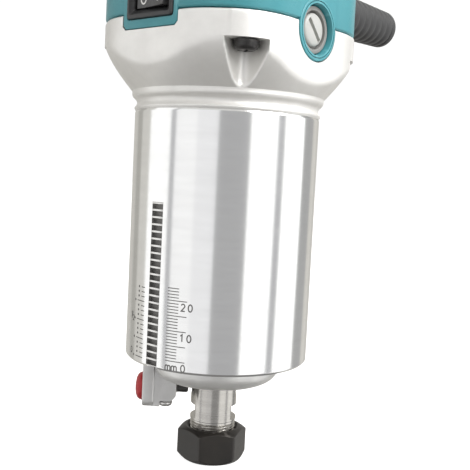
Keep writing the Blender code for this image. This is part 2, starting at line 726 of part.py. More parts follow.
def spindle_parts():
    """Shaft with its collet seat, and the armature pieces that turn with it."""
    profile = [
        (0, 134.4), (3.7, 134.4), (3.7, 126.0), (SHAFT_R, 125.6), (SHAFT_R, 12.6), (5.7, 12.0),
        (5.7, 1.8), (SPINDLE_R, 1.6), (SPINDLE_R, -23.2), (THREAD_R, -23.8),
        (THREAD_R, SPINDLE_END + 0.6), (THREAD_R - 0.6, SPINDLE_END), (6.5, SPINDLE_END),
        (4.25, -18.4), (0, -18.4),
    ]
    shaft = turned("spindle", profile, "bright_steel", closed=False, steps=20)
    cross = rod("lock_cross_hole", 2.2, -12, 12, cutter=True, sides=20)
    place(cross, (0, 0, LOCK_Z), (90, 0, LOCK_AZIMUTH))
    cut(shaft, cross)
    for side in (0, 180):
        flat = box(f"spanner_flat_{side}", (-12, -14, -22.4), (12, -SPANNER_FLAT, -17.6), cutter=True)
        cut(shaft, around_axis(flat, LOCK_AZIMUTH + side))

    core = turned("armature_core", [(SHAFT_R + FIT, 85.0), (16.2, 85.0), (16.2, 49.0),
                                    (SHAFT_R + FIT, 49.0)], "core_steel")
    for i in range(10):
        slot = box(f"armature_slot_{i}", (-0.9, -18, 45), (0.9, -12.5, 90), cutter=True)
        cut(core, around_axis(slot, 36 * i))
    turned("armature_winding_low", [(5.6, 48.7), (14.6, 48.7), (15.2, 45.5), (12.5, 41.5),
                                    (5.6, 41.5)], "copper", steps=20)
    turned("armature_winding_high", [(5.6, 97.0), (9.5, 97.0), (14.6, 91.5), (15.2, 87.5),
                                     (14.6, 85.3), (5.6, 85.3)], "copper", steps=20)
    commutator = turned("commutator", [(SHAFT_R + FIT, 121.0), (COMMUTATOR_R, 121.0),
                                       (COMMUTATOR_R, 104.5), (13.4, 104.0), (13.4, 101.5),
                                       (SHAFT_R + FIT, 101.5)], "copper")
    return shaft, core, commutator


def cooling_fan():
    """Radial fan: hub, back plate and straight blades."""
    hub = [(SHAFT_R + FIT, 29.0), (27.0, 29.0), (27.0, 27.6), (9.0, 26.4), (8.4, 16.0),
           (SHAFT_R + FIT, 16.0)]
    fan = turned("cooling_fan", hub, "grey_plastic")
    for i in range(12):
        blade = box(f"fan_blade_{i}", (-0.6, -26.6, 17.0), (0.6, -8.0, 28.0), cutter=True)
        combine(fan, around_axis(blade, 30 * i), "UNION")
    return fan


# Brushes

def brush_parts(side, label):
    """Holder, carbon brush, spring and slotted cap of one side."""
    seat = {"point": (0, 0, BRUSH_Z), "rotation": (0, 90 * side, 0)}
    holder = turned(f"brush_holder_{label}", [
        (0, 26.0), (4.9, 26.0), (4.9, 33.6), (5.95, 33.6), (5.95, 35.5), (7.6, 35.5),
        (7.6, 34.2), (6.6, 34.2), (6.6, 14.0), (0, 14.0)], "grey_plastic", closed=False, steps=20)
    place(holder, **seat)
    channel = box(f"brush_channel_{label}", (12, -BRUSH_HALF_Y - 0.2, BRUSH_Z - BRUSH_HALF_Z - 0.2),
                  (26.5, BRUSH_HALF_Y + 0.2, BRUSH_Z + BRUSH_HALF_Z + 0.2), cutter=True)
    channel.location.x *= side
    cut(holder, channel)

    brush = box(f"carbon_brush_{label}", (BRUSH_INNER_X, -BRUSH_HALF_Y, BRUSH_Z - BRUSH_HALF_Z),
                (BRUSH_OUTER_X, BRUSH_HALF_Y, BRUSH_Z + BRUSH_HALF_Z), "carbon")
    brush.location.x *= side

    spring = tube(f"brush_spring_{label}", helix(22.2, 26.8, 1.9, 3), 0.35, "bright_steel")
    place(spring, **seat)

    cap = turned(f"brush_cap_{label}", [(0, 35.6), (4.9, 35.4), (5.6, 34.9), (5.6, 33.9),
                                        (4.6, 33.9), (4.6, 27.4), (0, 27.4)],
                 "grey_plastic", closed=False, steps=20)
    place(cap, **seat)
    slot = box(f"cap_slot_{label}", (34.3, -0.7, BRUSH_Z - 4.4), (37, 0.7, BRUSH_Z + 4.4), cutter=True)
    slot.location.x *= side
    slot.rotation_euler.x = math.radians(CAP_SLOT_ANGLE)
    return cut(cap, slot)


# Shaft lock

def lock_parts():
    """Block under the barrel with the red button, its pin and the return spring."""
    block = box("lock_block", (-LOCK_HALF_WIDTH, -LOCK_OUT, LOCK_LOW_Z),
                (LOCK_HALF_WIDTH, -LOCK_IN, -FIT), "cast_aluminium")
    around_axis(block, LOCK_AZIMUTH)
    add_bevel(block, 1.0)
    seat = {"point": (0, 0, LOCK_Z), "rotation": (90, 0, LOCK_AZIMUTH)}
    cutters = []
    for name, radius, start, stop in (("lock_pin_bore", 2.0, 8, 30), ("lock_spring_bore", 3.6, 15.8, 30),
                                      ("lock_button_bore", BUTTON_R + FIT, 19.2, 30)):
        cutters.append(place(rod(name, radius, start, stop, cutter=True, sides=20), **seat))
    for side in (-1, 1):
        sink = rod(f"lock_screw_sink_{side}", 2.8, -20, -15.9, cutter=True, sides=16)
        hole = rod(f"lock_screw_hole_{side}", 1.8, -20, 2, cutter=True, sides=12)
        for obj in (sink, hole):
            cutters.append(place(obj, lock_point(LOCK_SCREW_U, LOCK_SCREW_V * side, 0)))
    slope = box("lock_slope", (-20, -4, -4), (20, 4, 4), cutter=True)
    slope.location = lock_point(LOCK_IN - 3.4, 0, LOCK_LOW_Z - 2.2) * MM
    slope.rotation_euler = (math.radians(45), 0, math.radians(LOCK_AZIMUTH))
    cut(block, *cutters, slope)

    screw_set("lock_screw", [lock_point(LOCK_SCREW_U, LOCK_SCREW_V * side, 0) for side in (-1, 1)],
              1.5, 7.0, 2.5, -17.9, -16.2, "bright_steel")

    button = turned("lock_button", [(0, 28.5), (4.0, 28.3), (BUTTON_R, 27.3), (BUTTON_R, 25.9),
                                    (BUTTON_R, 22.2), (0, 22.2)], "red_plastic", closed=False,
                    steps=20)
    place(button, **seat)
    pin = turned("lock_pin", [(0, 21.9), (PIN_R, 21.9), (PIN_R, 9.9), (PIN_R - 0.5, 9.4), (0, 9.4)],
                 "black_steel", closed=False, steps=20)
    place(pin, **seat)
    spring = tube("lock_spring", helix(16.5, 21.5, 2.7, 3), 0.35, "bright_steel")
    place(spring, **seat)
    return block


# Collet

def collet_parts():
    """Slotted taper collet and the hexagon nut that draws it in."""
    collet = turned("collet", [
        (COLLET_BORE_R, -18.9), (3.85, -18.9), (6.2, -33.9), (6.2, -34.6), (5.0, -36.1),
        (COLLET_BORE_R, -36.1)], "bright_steel", steps=20)
    for i in range(2):
        slot = box(f"collet_slot_{i}", (-0.35, 0, -40), (0.35, 9, -21.5), cutter=True)
        cut(collet, around_axis(slot, 180 * i + 20))

    nut = rod("collet_nut", NUT_FLAT / math.sqrt(3), NUT_LOW, NUT_TOP, "black_steel", sides=6)
    nut.rotation_euler.z = math.radians(NUT_AZIMUTH - 90)
    blank = turned("nut_chamfer", [(0, NUT_TOP), (9.9, NUT_TOP), (13.2, NUT_TOP - 1.9),
                                   (13.2, NUT_LOW + 2.4), (10.4, NUT_LOW), (0, NUT_LOW)],
                   cutter=True, closed=False, steps=28)
    combine(nut, blank, "INTERSECT")
    bore = turned("nut_bore", [(0, -20), (9.2, -20), (9.2, NUT_TOP - 0.3), (8.45, NUT_TOP - 1.0),
                               (8.45, -33.9), (7.4, -34.5), (NUT_HOLE_R, -37.2),
                               (NUT_HOLE_R, -42), (0, -42)], cutter=True, closed=False, steps=20)
    return cut(nut, bore)


def height_rack():
    """Toothed strip let into the barrel, with teeth across it."""
    face, back, root = -BARREL_R + 0.1, -BARREL_R + 2.1, -BARREL_R + 1.3
    outline = [(back, RACK_TOP), (face, RACK_TOP)]
    first = RACK_TOP - 0.5
    for i in range(RACK_TEETH):
        top = first - i * RACK_PITCH
        outline += [(face, top), (root, top - 0.1), (root, top - 1.6), (face, top - 1.7)]
    outline += [(face, RACK_LOW), (back, RACK_LOW)]
    rack = extruded("height_rack", [(-y, z) for y, z in outline], RACK_WIDTH, "bright_steel")
    return place(rack, (0, 0, 0), (90, 0, -90))


def build():
    """Make every piece of the motor unit."""
    clear_scene()
    make_collection(OBJECT_NAME)
    make_collection("cutters")
    barrel_housing()
    head_housing()
    top_cover()
    switch_parts()
    speed_parts()
    cord_parts()
    bearing("lower_bearing", 6.0, 14.0, 2.1, 10.1, 2.2, 8)
    bearing("upper_bearing", 4.0, 11.0, 127.3, 134.0, 1.7, 7)
    bearing_mounts()
    field_parts()
    spindle_parts()
    cooling_fan()
    brush_parts(1, "right")
    brush_parts(-1, "left")
    lock_parts()
    collet_parts()
    height_rack()
    screw_set("head_screw", [at_azimuth(a, HEAD_SCREW_R, 0) for a in SCREW_CORNERS],
              2.0, 127.0, 4.3, 103.2, 106.5, "black_steel")
    screw_set("cover_screw", [at_azimuth(a, COVER_SCREW_R, 0) for a in SCREW_CORNERS],
              1.7, 142.5, 2.9, 157.5, 159.4, "black_steel")


build()
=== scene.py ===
"""Looks of a trim router's motor unit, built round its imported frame.

The tool axis is Z with the collet downwards, the switch faces -Y and the cord leaves along +Y.
Sizes in the classes are millimetres; the meshes they make are in metres.
"""
from __future__ import annotations

import json
import logging
import math
from collections.abc import Callable, Iterable, Sequence
from dataclasses import dataclass, field
from enum import Enum

import bmesh
import bpy
from mathutils import Matrix, Vector

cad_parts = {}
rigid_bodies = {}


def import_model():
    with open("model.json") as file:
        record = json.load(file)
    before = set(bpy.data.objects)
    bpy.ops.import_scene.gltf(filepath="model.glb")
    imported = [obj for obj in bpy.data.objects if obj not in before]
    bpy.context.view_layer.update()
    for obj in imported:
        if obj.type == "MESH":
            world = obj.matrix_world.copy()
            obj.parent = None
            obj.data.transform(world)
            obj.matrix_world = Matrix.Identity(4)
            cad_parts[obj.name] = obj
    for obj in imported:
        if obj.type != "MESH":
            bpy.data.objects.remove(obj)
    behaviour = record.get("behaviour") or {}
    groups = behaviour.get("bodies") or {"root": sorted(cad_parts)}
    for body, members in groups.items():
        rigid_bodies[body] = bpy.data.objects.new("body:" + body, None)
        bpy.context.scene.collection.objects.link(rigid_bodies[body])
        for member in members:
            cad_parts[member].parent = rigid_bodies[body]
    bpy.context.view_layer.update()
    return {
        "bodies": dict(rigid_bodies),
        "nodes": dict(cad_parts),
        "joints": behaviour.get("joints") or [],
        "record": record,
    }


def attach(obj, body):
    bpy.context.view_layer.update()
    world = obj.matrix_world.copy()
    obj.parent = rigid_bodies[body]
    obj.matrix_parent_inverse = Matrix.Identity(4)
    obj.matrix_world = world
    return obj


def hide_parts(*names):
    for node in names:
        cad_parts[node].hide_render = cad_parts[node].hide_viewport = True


LOG = logging.getLogger("trim_router")

MM = 0.001

# Places that several sub-assemblies share, in millimetres and degrees
CORNERS = (48.0, 132.0, 228.0, 312.0)
HEAD_HALF_X = 36.8
HEAD_HALF_Y = 39.5
HEAD_CORNER = 25.0
HEAD_SCREW_REACH = 38.3
COVER_SCREW_REACH = 36.5
BRUSH_HEIGHT = 113.4
BEZEL_HEIGHT = 120.65
GUARD_HEIGHT = 133.3
DIAL_AT = (-14.0, -6.0)

Colour = tuple[float, float, float]
Point = tuple[float, float]
Corner = tuple[float, float, float]
Loop = list[Vector]
RadiusAt = Callable[[float], float]
Wrap = Callable[[float, float, float], Vector]


# Plain geometry


def direction(azimuth: float) -> Vector:
    """Unit vector in the XY plane, azimuth in degrees from -Y towards +X."""
    angle = math.radians(azimuth)
    return Vector((math.sin(angle), -math.cos(angle), 0.0))


def at_azimuth(azimuth: float, radius: float, height: float) -> Vector:
    """Point at an azimuth, a distance from the tool axis and a height."""
    return direction(azimuth) * radius + Vector((0.0, 0.0, height))


def soft_min(a: float, b: float, width: float) -> float:
    """The smaller of two lengths, rounded over where they are closer than width."""
    near = max(width - abs(a - b), 0.0) / width if width > 0 else 0.0
    return min(a, b) - near * near * width * 0.25


def ease(value: float, low: float, high: float) -> float:
    """Smooth step from 0 at low to 1 at high."""
    share = min(1.0, max(0.0, (value - low) / (high - low)))
    return share * share * (3.0 - 2.0 * share)


def span(low: float, high: float, step: float) -> list[float]:
    """Evenly spaced values from low to high, both included, no further apart than step."""
    count = max(1, math.ceil(abs(high - low) / step))
    return [low + (high - low) * i / count for i in range(count + 1)]


def rounded(corners: Sequence[Corner], closed: bool = True, steps: int = 5) -> list[Point]:
    """Outline with its corners rounded.

    Args:
        corners: Points as (x, y, how far the rounding reaches along each side).
        closed: True if the last corner joins the first.
        steps: Segments in each rounding.

    Returns:
        The outline's points in order.
    """
    outline: list[Point] = []
    last = len(corners) - 1
    for i, (x, y, reach) in enumerate(corners):
        if reach <= 0 or (not closed and i in (0, last)):
            outline.append((x, y))
            continue
        here = Vector((x, y))
        to_before = Vector(corners[i - 1][:2]) - here
        to_after = Vector(corners[(i + 1) % len(corners)][:2]) - here
        start = here + to_before.normalized() * min(reach, to_before.length * 0.49)
        stop = here + to_after.normalized() * min(reach, to_after.length * 0.49)
        for k in range(steps + 1):
            t = k / steps
            point = start * (1 - t) ** 2 + here * 2 * t * (1 - t) + stop * t * t
            outline.append((point.x, point.y))
    return outline


def smooth_line(points: Sequence[Point], per_span: int) -> list[Point]:
    """Points on a smooth line through the given ones, per_span of them between each pair."""
    line: list[Point] = []
    ends = [points[0], *points, points[-1]]
    for a, b, c, d in zip(ends, ends[1:], ends[2:], ends[3:]):
        for k in range(per_span):
            t = k / per_span
            line.append(tuple(0.5 * (2 * b[n] + (c[n] - a[n]) * t
                                     + (2 * a[n] - 5 * b[n] + 4 * c[n] - d[n]) * t * t
                                     + (3 * b[n] - a[n] - 3 * c[n] + d[n]) * t ** 3)
                              for n in (0, 1)))
    line.append(tuple(points[-1]))
    return line


def rounded_rectangle(half_x: float, half_y: float, corner: float, steps: int = 5) -> list[Point]:
    """Outline of a rectangle with round corners, counter-clockwise."""
    return rounded([(half_x, -half_y, corner), (half_x, half_y, corner),
                    (-half_x, half_y, corner), (-half_x, -half_y, corner)], steps=steps)


def tab_outline(half: float, low: float, high: float, cut: float) -> list[Point]:
    """Outline of a tab that hangs down, with its lower corners cut off."""
    return [(-half, high), (-half, low + cut), (-half + cut, low), (half - cut, low),
            (half, low + cut), (half, high)]


def even_angles(count: int) -> list[float]:
    """Angles evenly spaced round a full turn, in radians."""
    return [math.tau * i / count for i in range(count)]


# Meshes


class Forge:
    """Makes the meshes of the pieces: sizes come in as millimetres and leave as metres."""

    @staticmethod
    def bridge(bm: bmesh.types.BMesh, rows: Sequence[Sequence[bmesh.types.BMVert]],
               ring: bool = False) -> None:
        """Fill between closed rows of equally many vertices.

        Args:
            bm: The mesh that the vertices are in.
            rows: The rows in order.
            ring: True if the last row joins the first.
        """
        following = [*rows[1:], rows[0]] if ring else rows[1:]
        for lower, upper in zip(rows, following):
            for i in range(len(lower)):
                j = (i + 1) % len(lower)
                bm.faces.new((lower[i], lower[j], upper[j], upper[i]))

    @staticmethod
    def keep(name: str, bm: bmesh.types.BMesh, sharp: float = 32.0) -> bpy.types.Object:
        """Turn a bmesh in millimetres into a linked, shaded object.

        Args:
            name: Name of the piece.
            bm: The mesh, freed here.
            sharp: Angle in degrees from which an edge stays crisp.

        Returns:
            The new object, at the origin.
        """
        bmesh.ops.remove_doubles(bm, verts=bm.verts, dist=1e-4)
        bmesh.ops.recalc_face_normals(bm, faces=bm.faces)
        bmesh.ops.scale(bm, vec=(MM, MM, MM), verts=bm.verts)
        mesh = bpy.data.meshes.new(name)
        bm.to_mesh(mesh)
        bm.free()
        made = bpy.data.objects.new(name, mesh)
        bpy.context.scene.collection.objects.link(made)
        return Forge.shade(made, sharp)

    @staticmethod
    def shade(piece: bpy.types.Object, sharp: float = 32.0) -> bpy.types.Object:
        """Shade a piece smoothly, except across edges sharper than the angle."""
        piece.data.polygons.foreach_set("use_smooth", [True] * len(piece.data.polygons))
        piece.data.set_sharp_from_angle(angle=math.radians(sharp))
        return piece

    @staticmethod
    def skin(name: str, loops: Sequence[Loop], ring: bool = False,
             sharp: float = 32.0) -> bpy.types.Object:
        """Closed skin through loops of equally many points.

        Args:
            name: Name of the piece.
            loops: The loops in order.
            ring: True if the last loop joins the first; otherwise both ends are capped.
            sharp: Angle in degrees from which an edge stays crisp.

        Returns:
            The new object.
        """
        bm = bmesh.new()
        rows = [[bm.verts.new(point) for point in loop] for loop in loops]
        Forge.bridge(bm, rows, ring)
        if not ring:
            for row in (rows[0], rows[-1]):
                bm.faces.new(row)
        return Forge.keep(name, bm, sharp)

    @staticmethod
    def revolve(name: str, profile: Sequence[Point], steps: int = 96, frame: Matrix | None = None,
                ring: bool = True, sharp: float = 32.0) -> bpy.types.Object:
        """Turn a profile of (radius, height) about the frame's Z axis.

        Args:
            name: Name of the piece.
            profile: Points in order round the section.
            steps: Segments round the axis.
            frame: Where the axis is, in millimetres.
            ring: True for a ring; False if the profile starts and ends on the axis.
            sharp: Angle in degrees from which an edge stays crisp.

        Returns:
            The new object.
        """
        frame = frame or Matrix.Identity(4)
        loops = [[frame @ Vector((r * math.cos(a), r * math.sin(a), h))
                  for a in even_angles(steps)] for r, h in profile]
        if ring:
            return Forge.skin(name, loops, True, sharp)
        bm = bmesh.new()
        rows = [[bm.verts.new(point) for point in loop] for loop in loops[1:-1]]
        Forge.bridge(bm, rows)
        for row, loop in ((rows[0], loops[0]), (rows[-1], loops[-1])):
            pole = bm.verts.new(loop[0])
            for i in range(steps):
                bm.faces.new((row[i], row[(i + 1) % steps], pole))
        return Forge.keep(name, bm, sharp)

    @staticmethod
    def slab(name: str, outline: Sequence[Point], low: float, high: float,
             frame: Matrix | None = None, edge: float = 0.0) -> bpy.types.Object:
        """Flat outline in the frame's XY plane, drawn out along its Z, with softened edges."""
        frame = frame or Matrix.Identity(4)
        loops = [[frame @ Vector((x, y, h)) for x, y in outline] for h in (low, high)]
        made = Forge.skin(name, loops)
        return Forge.soften(made, edge) if edge else made

    @staticmethod
    def block(name: str, low: Sequence[float], high: Sequence[float],
              frame: Matrix | None = None, edge: float = 0.0) -> bpy.types.Object:
        """Box between two corners of the frame, with softened edges."""
        outline = [(low[0], low[1]), (high[0], low[1]), (high[0], high[1]), (low[0], high[1])]
        return Forge.slab(name, outline, low[2], high[2], frame, edge)

    @staticmethod
    def peg(name: str, radius: float, low: float, high: float, frame: Matrix | None = None,
            steps: int = 48) -> bpy.types.Object:
        """Plain round cutter along the frame's Z, turned half a segment off the axes."""
        frame = (frame or Matrix.Identity(4)) @ Matrix.Rotation(math.pi / steps, 4, "Z")
        outline = [(radius * math.cos(a), radius * math.sin(a)) for a in even_angles(steps)]
        return Forge.slab(name, outline, low, high, frame)

    @staticmethod
    def settle(piece: bpy.types.Object) -> bpy.types.Object:
        """Make a piece's modifiers part of its mesh."""
        graph = bpy.context.evaluated_depsgraph_get()
        graph.update()
        mesh = bpy.data.meshes.new_from_object(piece.evaluated_get(graph))
        piece.modifiers.clear()
        piece.data = mesh
        return piece

    @staticmethod
    def soften(piece: bpy.types.Object, width: float, segments: int = 3,
               angle: float = 40.0) -> bpy.types.Object:
        """Round a piece's sharp edges by a width in millimetres."""
        bevel = piece.modifiers.new("soften", "BEVEL")
        bevel.width = width * MM
        bevel.segments = segments
        bevel.limit_method = "ANGLE"
        bevel.angle_limit = math.radians(angle)
        return Forge.shade(Forge.settle(piece))

    @staticmethod
    def combine(piece: bpy.types.Object, tools: Iterable[bpy.types.Object],
                operation: str = "DIFFERENCE") -> bpy.types.Object:
        """Cut tools out of a piece, or join them to it, and remove them."""
        tools = list(tools)
        for tool in tools:
            step = piece.modifiers.new(tool.name, "BOOLEAN")
            step.operation = operation
            step.solver = "EXACT"
            step.object = tool
        Forge.settle(piece)
        for tool in tools:
            bpy.data.objects.remove(tool, do_unlink=True)
        return Forge.shade(piece)

    @staticmethod
    def merge(name: str, parts: Sequence[bpy.types.Object]) -> bpy.types.Object:
        """Gather several meshes into one object, under a new name."""
        bm = bmesh.new()
        for part in parts:
            bm.from_mesh(part.data)
            bpy.data.objects.remove(part, do_unlink=True)
        mesh = bpy.data.meshes.new(name)
        bm.to_mesh(mesh)
        bm.free()
        made = bpy.data.objects.new(name, mesh)
        bpy.context.scene.collection.objects.link(made)
        return Forge.shade(made)


def axis_frame(point: Vector, axis: Vector, up: Vector = Vector((0, 0, 1))) -> Matrix:
    """Frame at a point, whose Z runs along axis and whose Y leans towards up."""
    z = axis.normalized()
    y = (up - z * up.dot(z)).normalized()
    x = y.cross(z)
    return Matrix.Translation(point) @ Matrix((x, y, z)).transposed().to_4x4()


def level_frame(height: float, towards: Sequence[float]) -> Matrix:
    """Frame on the tool axis at a height, whose Z points level to one side."""
    return axis_frame(Vector((0, 0, height)), Vector(towards))


def upright_frame(azimuth: float, reach: float) -> Matrix:
    """Upright frame at an azimuth and a distance from the tool axis."""
    return Matrix.Translation(at_azimuth(azimuth, reach, 0.0))


# Finishes


class Surface(Enum):
    """The kinds of surface detail a finish can have."""

    CAST = "blasted casting"
    TURNED = "turned metal"
    GROUND = "ground metal"
    MOULDED = "moulded plastic"
    RUBBER = "moulded rubber"
    OXIDE = "blackened steel"
    SHEETS = "stacked sheets"
    WOUND = "wound wire"
    PRINT = "printed or etched mark"


class Sketch:
    """Adds nodes to a material and joins them."""

    def __init__(self, name: str) -> None:
        """Start a material with an empty Principled shader."""
        self.material = bpy.data.materials.new(name)
        self.material.use_nodes = True
        self.tree = self.material.node_tree
        self.shader = self.tree.nodes["Principled BSDF"]
        self.place = self.add("ShaderNodeTexCoord").outputs["Object"]

    def add(self, kind: str, **settings: object) -> bpy.types.Node:
        """Add a node and set its properties."""
        node = self.tree.nodes.new(kind)
        for key, value in settings.items():
            setattr(node, key, value)
        return node

    def join(self, source: bpy.types.NodeSocket, target: bpy.types.NodeSocket) -> None:
        """Link two sockets."""
        self.tree.links.new(source, target)

    def stretched(self, scale: Sequence[float]) -> bpy.types.NodeSocket:
        """The piece's own coordinates, scaled along each axis."""
        node = self.add("ShaderNodeMapping")
        self.join(self.place, node.inputs["Vector"])
        node.inputs["Scale"].default_value = scale
        return node.outputs["Vector"]

    def noise(self, scale: float, detail: float = 3.0, roughness: float = 0.55,
              stretch: Sequence[float] | None = None) -> bpy.types.NodeSocket:
        """Cloudy pattern from 0 to 1, scale in waves per metre."""
        node = self.add("ShaderNodeTexNoise")
        self.join(self.stretched(stretch) if stretch else self.place, node.inputs["Vector"])
        node.inputs["Scale"].default_value = scale
        node.inputs["Detail"].default_value = detail
        node.inputs["Roughness"].default_value = roughness
        return node.outputs["Fac"]

    def bands(self, scale: float, axis: str, bend: float = 0.0) -> bpy.types.NodeSocket:
        """Parallel waves along an axis, scale in waves per metre."""
        node = self.add("ShaderNodeTexWave", wave_type="BANDS", bands_direction=axis)
        self.join(self.place, node.inputs["Vector"])
        node.inputs["Scale"].default_value = scale / 3.0
        node.inputs["Distortion"].default_value = bend
        node.inputs["Detail Scale"].default_value = 2.0
        return node.outputs["Fac"]

    def ramp(self, value: bpy.types.NodeSocket, source: Point, target: Point
             ) -> bpy.types.NodeSocket:
        """Map one range of values to another, clamped."""
        node = self.add("ShaderNodeMapRange", clamp=True)
        self.join(value, node.inputs["Value"])
        for key, number in zip(("From Min", "From Max", "To Min", "To Max"), (*source, *target)):
            node.inputs[key].default_value = number
        return node.outputs["Result"]

    def multiply(self, a: bpy.types.NodeSocket, b: bpy.types.NodeSocket) -> bpy.types.NodeSocket:
        """Product of two values."""
        node = self.add("ShaderNodeMath", operation="MULTIPLY")
        self.join(a, node.inputs[0])
        self.join(b, node.inputs[1])
        return node.outputs["Value"]

    def tint(self, share: bpy.types.NodeSocket, low: Colour | bpy.types.NodeSocket,
             high: Colour) -> bpy.types.NodeSocket:
        """Mix two colours by a share."""
        node = self.add("ShaderNodeMix", data_type="RGBA")
        self.join(share, node.inputs["Factor"])
        start, stop = (s for s in node.inputs if s.type == "RGBA")
        if isinstance(low, tuple):
            start.default_value = (*low, 1.0)
        else:
            self.join(low, start)
        stop.default_value = (*high, 1.0)
        return [s for s in node.outputs if s.type == "RGBA"][0]

    def edges(self, start: float, stop: float) -> bpy.types.NodeSocket:
        """Share that rises on convex edges, where a piece is handled or worn."""
        pointed = self.add("ShaderNodeNewGeometry").outputs["Pointiness"]
        return self.ramp(pointed, (start, stop), (0.0, 1.0))

    def bump(self, height: bpy.types.NodeSocket, depth: float, strength: float = 1.0,
             under: bpy.types.NodeSocket | None = None) -> bpy.types.NodeSocket:
        """Relief of a depth in millimetres, on top of another one."""
        node = self.add("ShaderNodeBump")
        self.join(height, node.inputs["Height"])
        node.inputs["Distance"].default_value = depth * MM
        node.inputs["Strength"].default_value = strength
        if under is not None:
            self.join(under, node.inputs["Normal"])
        return node.outputs["Normal"]


@dataclass(frozen=True)
class Finish:
    """Colour and surface of one finish.

    Attributes:
        name: Name of the material.
        slot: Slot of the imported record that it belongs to.
        surface: Kind of surface detail.
        colour: Main colour.
        shade: Second colour, of grain, wear or dirt.
        metallic: Metallic share.
        roughness: Lowest and highest roughness.
        grain: Detail in waves per metre.
        relief: Depth of the grain in millimetres.
        worn: Colour of rubbed edges, or None.
    """

    name: str
    slot: str
    surface: Surface
    colour: Colour
    shade: Colour
    metallic: float
    roughness: Point
    grain: float
    relief: float
    worn: Colour | None = None

    def material(self) -> bpy.types.Material:
        """Return this finish's material, made on first use."""
        found = bpy.data.materials.get(self.name)
        return found or self._made()

    def _made(self) -> bpy.types.Material:
        """Build the node tree of this finish."""
        sketch = Sketch(self.name)
        shader = sketch.shader
        shader.inputs["Metallic"].default_value = self.metallic
        cloud = sketch.noise(self.grain * 0.03, 4.0)
        fine = sketch.noise(self.grain, 2.0)
        if self.surface is Surface.TURNED:
            fine = sketch.noise(self.grain, 5.0, 0.7, (0.012, 0.012, 1.0))
            cloud = sketch.noise(self.grain * 0.05, 4.0, 0.6, (0.15, 0.15, 1.0))
            shader.inputs["Anisotropic"].default_value = 0.55
            shader.inputs["Anisotropic Rotation"].default_value = 0.25
            sketch.join(sketch.add("ShaderNodeTangent", direction_type="RADIAL", axis="Z")
                        .outputs["Tangent"], shader.inputs["Tangent"])
        elif self.surface is Surface.GROUND:
            fine = sketch.noise(self.grain, 4.0, 0.65, (1.0, 1.0, 0.08))
        elif self.surface is Surface.SHEETS:
            fine = sketch.bands(self.grain, "Z")
        elif self.surface is Surface.WOUND:
            fine = sketch.bands(self.grain, "DIAGONAL", 3.0)
        elif self.surface is Surface.CAST:
            fine = sketch.noise(self.grain, 6.0, 0.62)
        colour = sketch.tint(sketch.ramp(cloud, (0.3, 0.72), (0.0, 1.0)), self.colour, self.shade)
        if self.surface in (Surface.SHEETS, Surface.WOUND):
            colour = sketch.tint(sketch.ramp(fine, (0.35, 0.0), (0.0, 0.7)), colour, self.shade)
        if self.worn is not None:
            rubbed = sketch.multiply(sketch.edges(0.52, 0.62),
                                     sketch.ramp(fine, (0.3, 0.7), (0.4, 1.0)))
            colour = sketch.tint(rubbed, colour, self.worn)
        sketch.join(colour, shader.inputs["Base Color"])
        mixed = sketch.multiply(sketch.ramp(cloud, (0.25, 0.75), (0.75, 1.0)),
                                sketch.ramp(fine, (0.2, 0.8), self.roughness))
        sketch.join(mixed, shader.inputs["Roughness"])
        normal = sketch.bump(fine, self.relief)
        if self.surface in (Surface.CAST, Surface.RUBBER):
            coarse = sketch.noise(self.grain * 0.12, 3.0)
            normal = sketch.bump(coarse, self.relief * 2.2, 0.7, normal)
        sketch.join(normal, shader.inputs["Normal"])
        self._gloss(shader)
        return sketch.material

    def _gloss(self, shader: bpy.types.Node) -> None:
        """Set the uniform sheen, coat and reflection values of this kind of surface."""
        if self.surface is Surface.MOULDED:
            shader.inputs["Specular IOR Level"].default_value = 0.45
            shader.inputs["Coat Weight"].default_value = 0.06
            shader.inputs["Coat Roughness"].default_value = 0.3
        elif self.surface is Surface.RUBBER:
            shader.inputs["Specular IOR Level"].default_value = 0.35
            shader.inputs["Sheen Weight"].default_value = 0.12
            shader.inputs["Sheen Roughness"].default_value = 0.5
        elif self.surface is Surface.WOUND:
            shader.inputs["Coat Weight"].default_value = 0.5
            shader.inputs["Coat Roughness"].default_value = 0.15


TURNED_ALLOY = Finish("turned_alloy", "cast_aluminium", Surface.TURNED, (0.83, 0.83, 0.82),
                      (0.78, 0.78, 0.77), 1.0, (0.14, 0.24), 5200.0, 0.002)
CAST_ALLOY = Finish("cast_alloy", "cast_aluminium", Surface.CAST, (0.80, 0.79, 0.765),
                    (0.73, 0.72, 0.695), 0.62, (0.46, 0.6), 3800.0, 0.026, (0.90, 0.90, 0.89))
NOSE_ALLOY = Finish("nose_alloy", "cast_aluminium", Surface.CAST, (0.76, 0.755, 0.74),
                    (0.69, 0.685, 0.67), 0.6, (0.36, 0.5), 4200.0, 0.02, (0.82, 0.82, 0.81))
LOCK_ALLOY = Finish("lock_alloy", "cast_aluminium", Surface.CAST, (0.60, 0.595, 0.585),
                    (0.52, 0.515, 0.505), 0.65, (0.4, 0.54), 4600.0, 0.018, (0.78, 0.78, 0.77))
TEAL = Finish("teal_casing", "teal_plastic", Surface.MOULDED, (0.058, 0.285, 0.325),
              (0.046, 0.255, 0.295), 0.0, (0.3, 0.44), 5200.0, 0.012, (0.13, 0.40, 0.44))
BLACK = Finish("black_moulding", "black_plastic", Surface.MOULDED, (0.018, 0.018, 0.019),
               (0.026, 0.026, 0.027), 0.0, (0.3, 0.46), 5200.0, 0.012, (0.07, 0.07, 0.07))
ROCKER = Finish("rocker_moulding", "black_plastic", Surface.MOULDED, (0.045, 0.045, 0.046),
                (0.058, 0.058, 0.058), 0.0, (0.24, 0.38), 4200.0, 0.008, (0.12, 0.12, 0.12))
